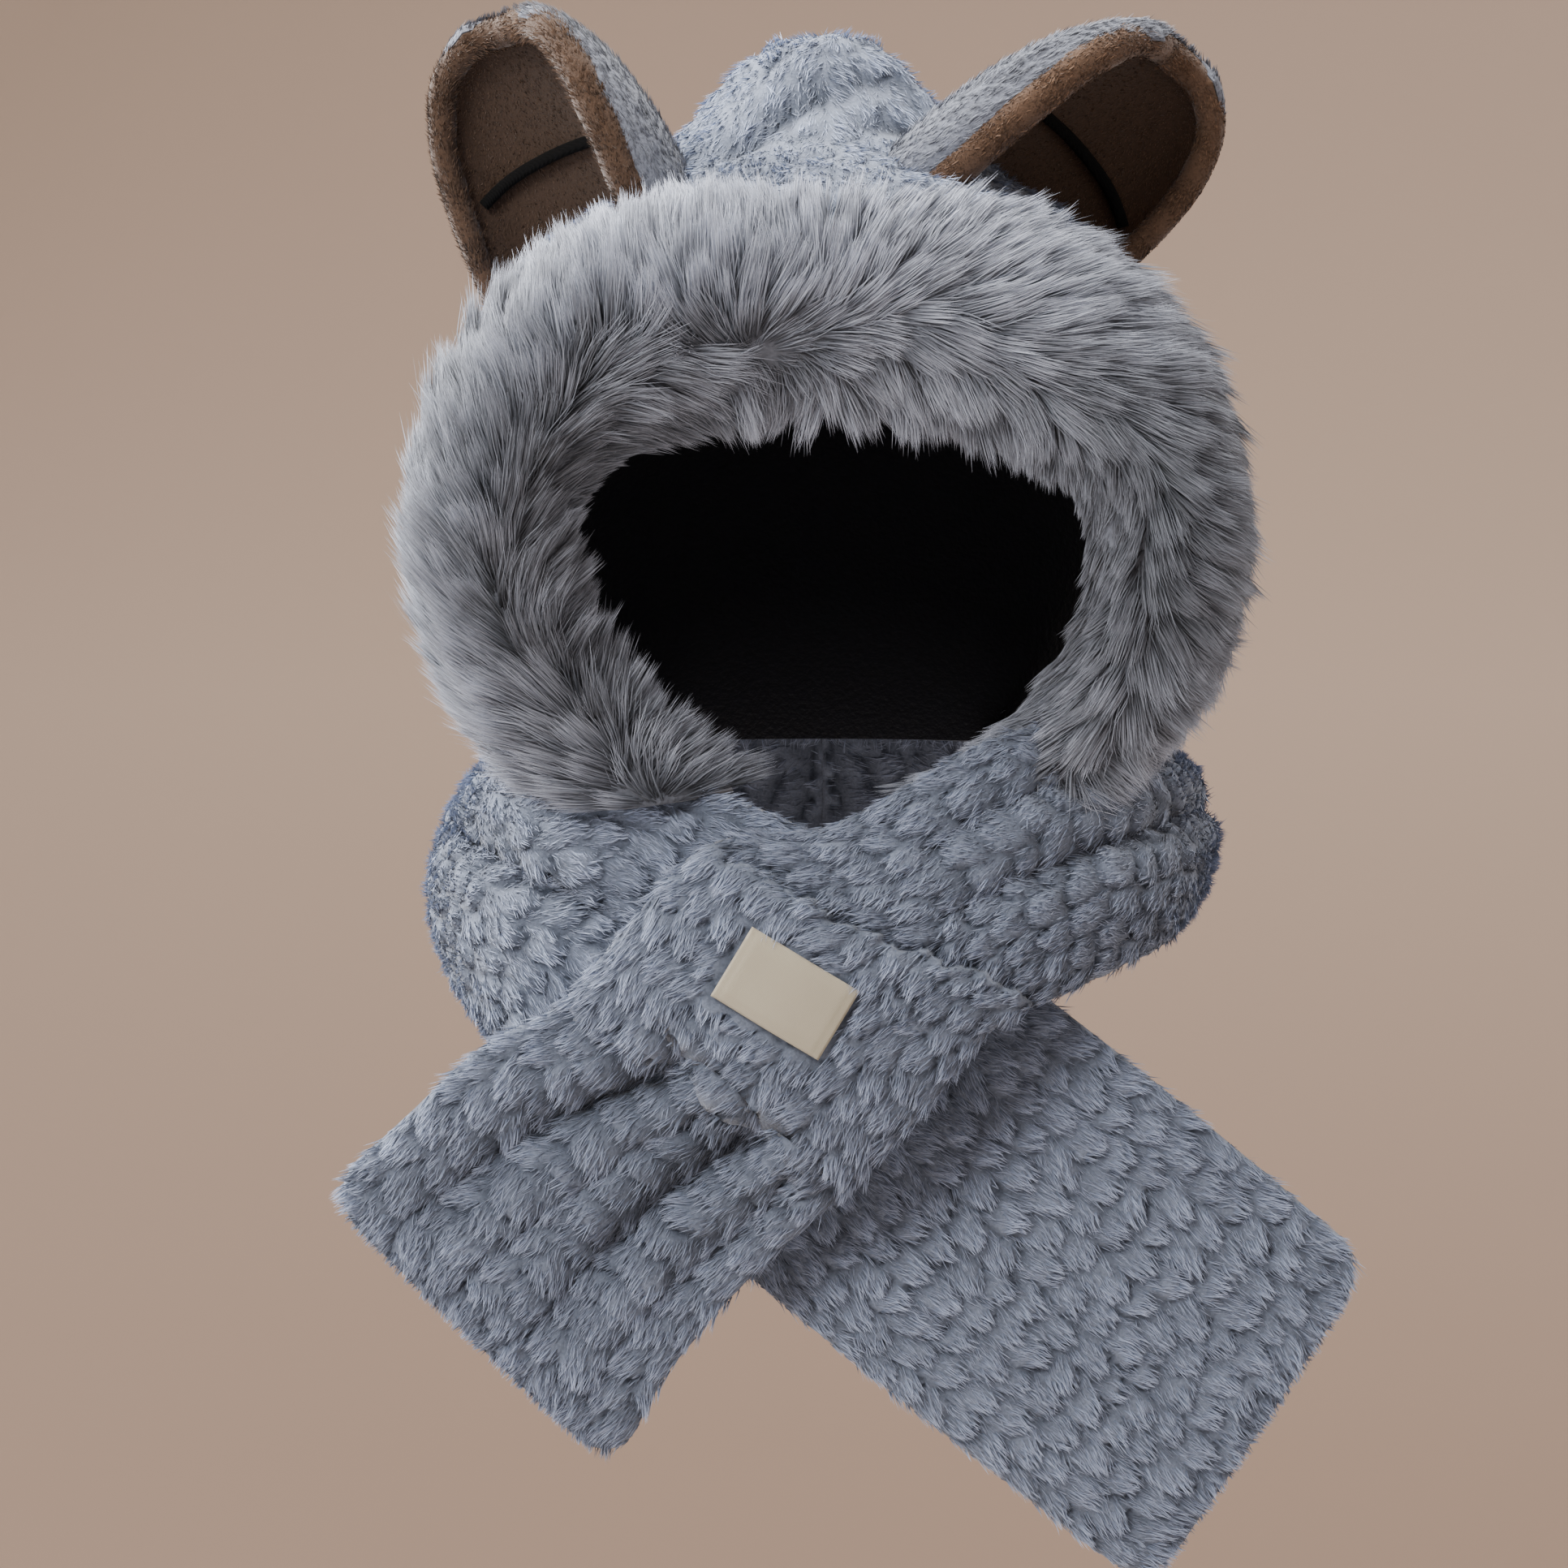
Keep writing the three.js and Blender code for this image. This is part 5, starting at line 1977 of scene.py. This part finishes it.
    def cord(self, material: bpy.types.Material) -> bpy.types.Object:
        """The cord across the cup.

        Args:
            material: its finish.

        Returns:
            The object.
        """
        heights = EAR_SECTIONS[:, 0]
        share = np.interp(EAR_CORD[:, 0], heights, np.linspace(0, 1, len(heights)))
        rows = smooth(EAR_SECTIONS, share)
        around = (EAR_CORD[:, 1] + rows[:, 4]) / (rows[:, 4] + rows[:, 5])
        rise = self.inner_rise(share, around) - 2.6 * np.sin(np.linspace(0.25, 2.9, len(share)))
        places = (self.ear.raised(share, around, rise) + SEAT) * MM
        bpy.ops.object.select_all(action="DESELECT")
        bpy.ops.curve.primitive_bezier_curve_add(location=(0, 0, 0))
        made = bpy.context.active_object
        curve = made.data
        curve.splines.clear()
        spline = curve.splines.new("NURBS")
        spline.points.add(len(places) - 1)
        for point, place in zip(spline.points, places):
            point.co = (*place, 1.0)
        spline.use_endpoint_u = True
        spline.order_u = 4
        spline.resolution_u = 12
        curve.dimensions = "3D"
        curve.bevel_depth = CORD_RADIUS * MM
        curve.bevel_resolution = 4
        curve.use_fill_caps = True
        bpy.ops.object.convert(target="MESH")
        made = bpy.context.active_object
        made.name = f"ear_{self.name}_braid"
        made.data.name = made.name
        made.data.shade_smooth()
        made.data.materials.append(material)
        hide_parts(f"ear_{self.name}_cord")
        return made

    def build(self, finishes: dict[str, bpy.types.Material]) -> list[bpy.types.Object]:
        """The ear's objects.

        Args:
            finishes: the materials that both ears share.

        Returns:
            The objects.
        """
        plush = self.pillow(
            f"ear_{self.name}_back", finishes["ear_cloth"], (self.outer_rise, 0.25), (46, 60)
        )
        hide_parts(f"ear_{self.name}_plush")
        lining = self.pillow(
            f"ear_{self.name}_velour", finishes["velour_cloth"], (self.inner_rise, -0.25),
            (44, 60), True,
        )
        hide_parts(f"ear_{self.name}_lining")
        plush_spec, velour_spec, roll_spec = (
            replace(habit, seed=habit.seed + self.side.value)
            for habit in (EAR_HABIT, VELOUR_HABIT, ROLL_HABIT)
        )
        return [
            plush,
            lining,
            self.pile(f"ear_{self.name}_nap", finishes["plush_pile"], plush_spec, False),
            self.pile(f"ear_{self.name}_velour_nap", finishes["velour_pile"], velour_spec, True),
            self.roll_pile(finishes["velour_pile"], roll_spec),
            self.cord(finishes["cord"]),
        ]


def label_axes() -> tuple[np.ndarray, np.ndarray, np.ndarray, np.ndarray]:
    """Where the label lies on the band.

    Returns:
        Its centre on the band's middle face, its directions right and up, and its normal.
    """
    turn = math.radians(LABEL_TURN)
    surface = Strip(SCARF_RIGHT, Side.RIGHT, CREASES_RIGHT)
    at = np.array([LABEL_ALONG]), np.array([2 * LABEL_ACROSS - 1])
    centre, normal = surface.point(*at)[0], surface.normal(*at)[0]
    right = np.array([math.cos(turn), 0.0, math.sin(turn)])
    right = unit(right - normal * (right @ normal))
    up = unit(np.cross(normal, right))
    return centre, right, up if up[2] > 0 else -up, normal


def make_label(shaders: Shaders) -> bpy.types.Object:
    """The blank woven label on the band: hemmed edges, following the cloth.

    Args:
        shaders: the shared finishes.

    Returns:
        The object.
    """
    centre, right, up, normal = label_axes()
    bpy.ops.object.select_all(action="DESELECT")
    bpy.ops.mesh.primitive_grid_add(x_subdivisions=42, y_subdivisions=27, size=2)
    made = bpy.context.active_object
    made.name = "label_tape"
    made.data.name = made.name
    mesh = made.data
    while mesh.uv_layers:
        mesh.uv_layers.remove(mesh.uv_layers[0])
    work = bmesh.new()
    work.from_mesh(mesh)
    texture = work.loops.layers.uv.new(UV_NAME)
    for face in work.faces:
        for loop in face.loops:
            loop[texture].uv = (loop.vert.co.x * 0.5 + 0.5, loop.vert.co.y * 0.32 + 0.5)
    for vertex in work.verts:
        x, y = vertex.co.x, vertex.co.y
        hem = bell(abs(x), 0.9, 0.05) + bell(abs(y), 0.86, 0.07)
        edge = max(abs(x) ** 14, abs(y) ** 12)
        wave = 0.5 * math.sin(3.1 * x + 1.2) + 0.35 * math.sin(4.3 * y + 2.0 * x)
        rise = LABEL_RISE + wave - 0.9 * edge - 0.35 * hem
        place = centre + right * (x * LABEL_HALF[0]) + up * (y * LABEL_HALF[1]) + normal * rise
        vertex.co = Vector(tuple((place + SEAT) * MM))
    work.to_mesh(mesh)
    work.free()
    solidify = made.modifiers.new("tape", "SOLIDIFY")
    solidify.thickness = LABEL_THICKNESS * MM
    bpy.context.view_layer.objects.active = made
    bpy.ops.object.modifier_apply(modifier="tape")
    mesh.shade_smooth()
    mesh.materials.append(shaders.woven("woven_tape"))
    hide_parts("label")
    return made


@dataclass
class Studio:
    """A plain backdrop, soft lights and the camera."""

    target: tuple[float, float, float] = (-0.0128, -0.014, -0.2826)
    eye: tuple[float, float, float] = (-0.0128, -1.5058, -0.1258)
    lens: float = 86.65

    def backdrop(self) -> bpy.types.Object:
        """A floor that curves up into a wall, all round. It throws neutral light on the part.

        Returns:
            The object.
        """
        arc = np.linspace(0, 0.5 * math.pi, 13)
        across = WALL_RADIUS - COVE_RADIUS * (1 - np.sin(arc))
        up = FLOOR_HEIGHT + COVE_RADIUS * (1 - np.cos(arc))
        profile = [*zip(across, up), (WALL_RADIUS, WALL_TOP)]
        turns = np.linspace(0, 2 * math.pi, 64, endpoint=False)
        work = bmesh.new()
        middle = work.verts.new((0.0, 0.0, FLOOR_HEIGHT))
        rings = [
            [work.verts.new((out * math.cos(turn), out * math.sin(turn), height)) for turn in turns]
            for out, height in profile
        ]
        for k in range(-1, len(turns) - 1):
            work.faces.new((middle, rings[0][k], rings[0][k + 1]))
            for lower, upper in zip(rings, rings[1:]):
                work.faces.new((lower[k], upper[k], upper[k + 1], lower[k + 1]))
        mesh = bpy.data.meshes.new("backdrop")
        work.to_mesh(mesh)
        work.free()
        mesh.shade_smooth()
        made = bpy.data.objects.new("backdrop", mesh)
        bpy.context.scene.collection.objects.link(made)
        material, nodes, shader = Shaders.new_material("backdrop_paper", 0.95, 0.0)
        place = nodes.add("TexCoord").outputs["Object"]
        height = nodes.add("SeparateXYZ", {0: place}).outputs["Z"]
        # the paper darkens from the wall down to the floor, painted shade against the brighter
        # light there
        share = nodes.span(height, from_min=FLOOR_HEIGHT, from_max=PAINTED_SHADE_TOP)
        paper = nodes.mix(share, opaque(SHADED_FLOOR_COLOUR), opaque(WALL_COLOUR))
        ray = nodes.add("LightPath").outputs["Is Camera Ray"]
        nodes.feed(shader, {"Base Color": nodes.mix(ray, opaque(BOUNCE_COLOUR), paper)})
        mesh.materials.append(material)
        return made

    @staticmethod
    def light(name: str, place: tuple, size: float, power: float, colour: tuple) -> None:
        """An area light that points at the part's middle.

        Args:
            name: the light's name.
            place: where it hangs, in metres.
            size: its width.
            power: its power in watts.
            colour: its colour.
        """
        data = bpy.data.lights.new(name, "AREA")
        data.shape = "DISK"
        data.size = size
        data.energy = power
        data.color = colour
        made = bpy.data.objects.new(name, data)
        made.location = place
        aim = Vector(LIGHTS_MEET) - Vector(place)
        made.rotation_euler = aim.to_track_quat("-Z", "Y").to_euler()
        bpy.context.scene.collection.objects.link(made)

    def build(self) -> None:
        """The backdrop, the lights, the world and the camera."""
        self.backdrop()
        for light in LIGHTS:
            self.light(*light)
        world = bpy.data.worlds.new("studio")
        world.use_nodes = True
        shade = world.node_tree.nodes["Background"]
        shade.inputs["Color"].default_value = opaque(SKY_COLOUR)
        shade.inputs["Strength"].default_value = SKY_STRENGTH
        bpy.context.scene.world = world
        data = bpy.data.cameras.new("camera")
        data.lens = self.lens
        data.sensor_width = 36.0
        made = bpy.data.objects.new("camera", data)
        made.location = self.eye
        aim = Vector(self.target) - Vector(self.eye)
        made.rotation_euler = aim.to_track_quat("-Z", "Y").to_euler()
        bpy.context.scene.collection.objects.link(made)
        bpy.context.scene.camera = made


def scarf(shaders: Shaders) -> dict[str, list[bpy.types.Object]]:
    """The scarf's strips with their pile.

    Args:
        shaders: the shared finishes.

    Returns:
        Objects per slot.
    """
    cloth = shaders.cloth("scarf_cloth", PLUSH_CLOTH)
    strands = shaders.pile("scarf_strands", PLUSH_PILE)
    left = Strip(SCARF_LEFT, Side.LEFT, CREASES_LEFT)
    right = Strip(SCARF_RIGHT, Side.RIGHT, CREASES_RIGHT)
    strips = (
        ScarfStrip("tail_left", "scarf_left", left, SCARF_THICKNESS),
        ScarfStrip("tail_right", "scarf_right", right, SCARF_THICKNESS),
        ScarfStrip("fold", "slit_back", Strip(SLIT_ROWS, Side.RIGHT), FOLD_THICKNESS),
    )
    made = []
    for k, strip in enumerate(strips):
        body = strip.body(cloth)
        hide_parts(strip.node)
        count = FOLD_STRANDS if strip.name == "fold" else PLUSH_HABIT.count
        spec = replace(PLUSH_HABIT, count=count, seed=PLUSH_HABIT.seed + k)
        made += [body, strip.pile(strands, spec)]
    return {"plush": made}


def ears(shaders: Shaders) -> dict[str, list[bpy.types.Object]]:
    """Both ears.

    Args:
        shaders: the shared finishes.

    Returns:
        Objects per slot.
    """
    finishes = {
        "ear_cloth": shaders.cloth("ear_cloth", EAR_CLOTH),
        "plush_pile": shaders.pile("ear_strands", EAR_PILE),
        "velour_cloth": shaders.cloth("velour_cloth", VELOUR_CLOTH),
        "velour_pile": shaders.pile("velour_strands", VELOUR_PILE),
        "cord": shaders.twisted("braided_cord", CORD_COLOUR),
    }
    slots: dict[str, list[bpy.types.Object]] = {"plush": [], "ear_lining": [], "cord": []}
    for place in EARS:
        plush, lining, nap, velour_nap, roll_nap, cord = EarPieces(place).build(finishes)
        slots["plush"] += [plush, nap]
        slots["ear_lining"] += [lining, velour_nap, roll_nap]
        slots["cord"].append(cord)
    return slots


def main() -> None:
    logging.basicConfig(level=logging.INFO, format="%(message)s")
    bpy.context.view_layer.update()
    shaders = Shaders()
    hood = HoodPiece(shaders)
    parts = [
        {
            "plush": hood.shell(),
            "lining": [hood.lining()],
            "fur": hood.trim(Side.LEFT) + hood.trim(Side.RIGHT),
            "label": [make_label(shaders)],
        },
        scarf(shaders),
        ears(shaders),
    ]
    triangles = 0
    for slots in parts:
        for slot, objects in slots.items():
            for made in objects:
                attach(made, "root")
                count = len(made.data.loops) - 2 * len(made.data.polygons)
                triangles += count
                log.warning("%s: %d triangles", made.name, count)
    log.warning("in all: %d triangles", triangles)
    Studio().build()


if __name__ == "__main__":
    main()
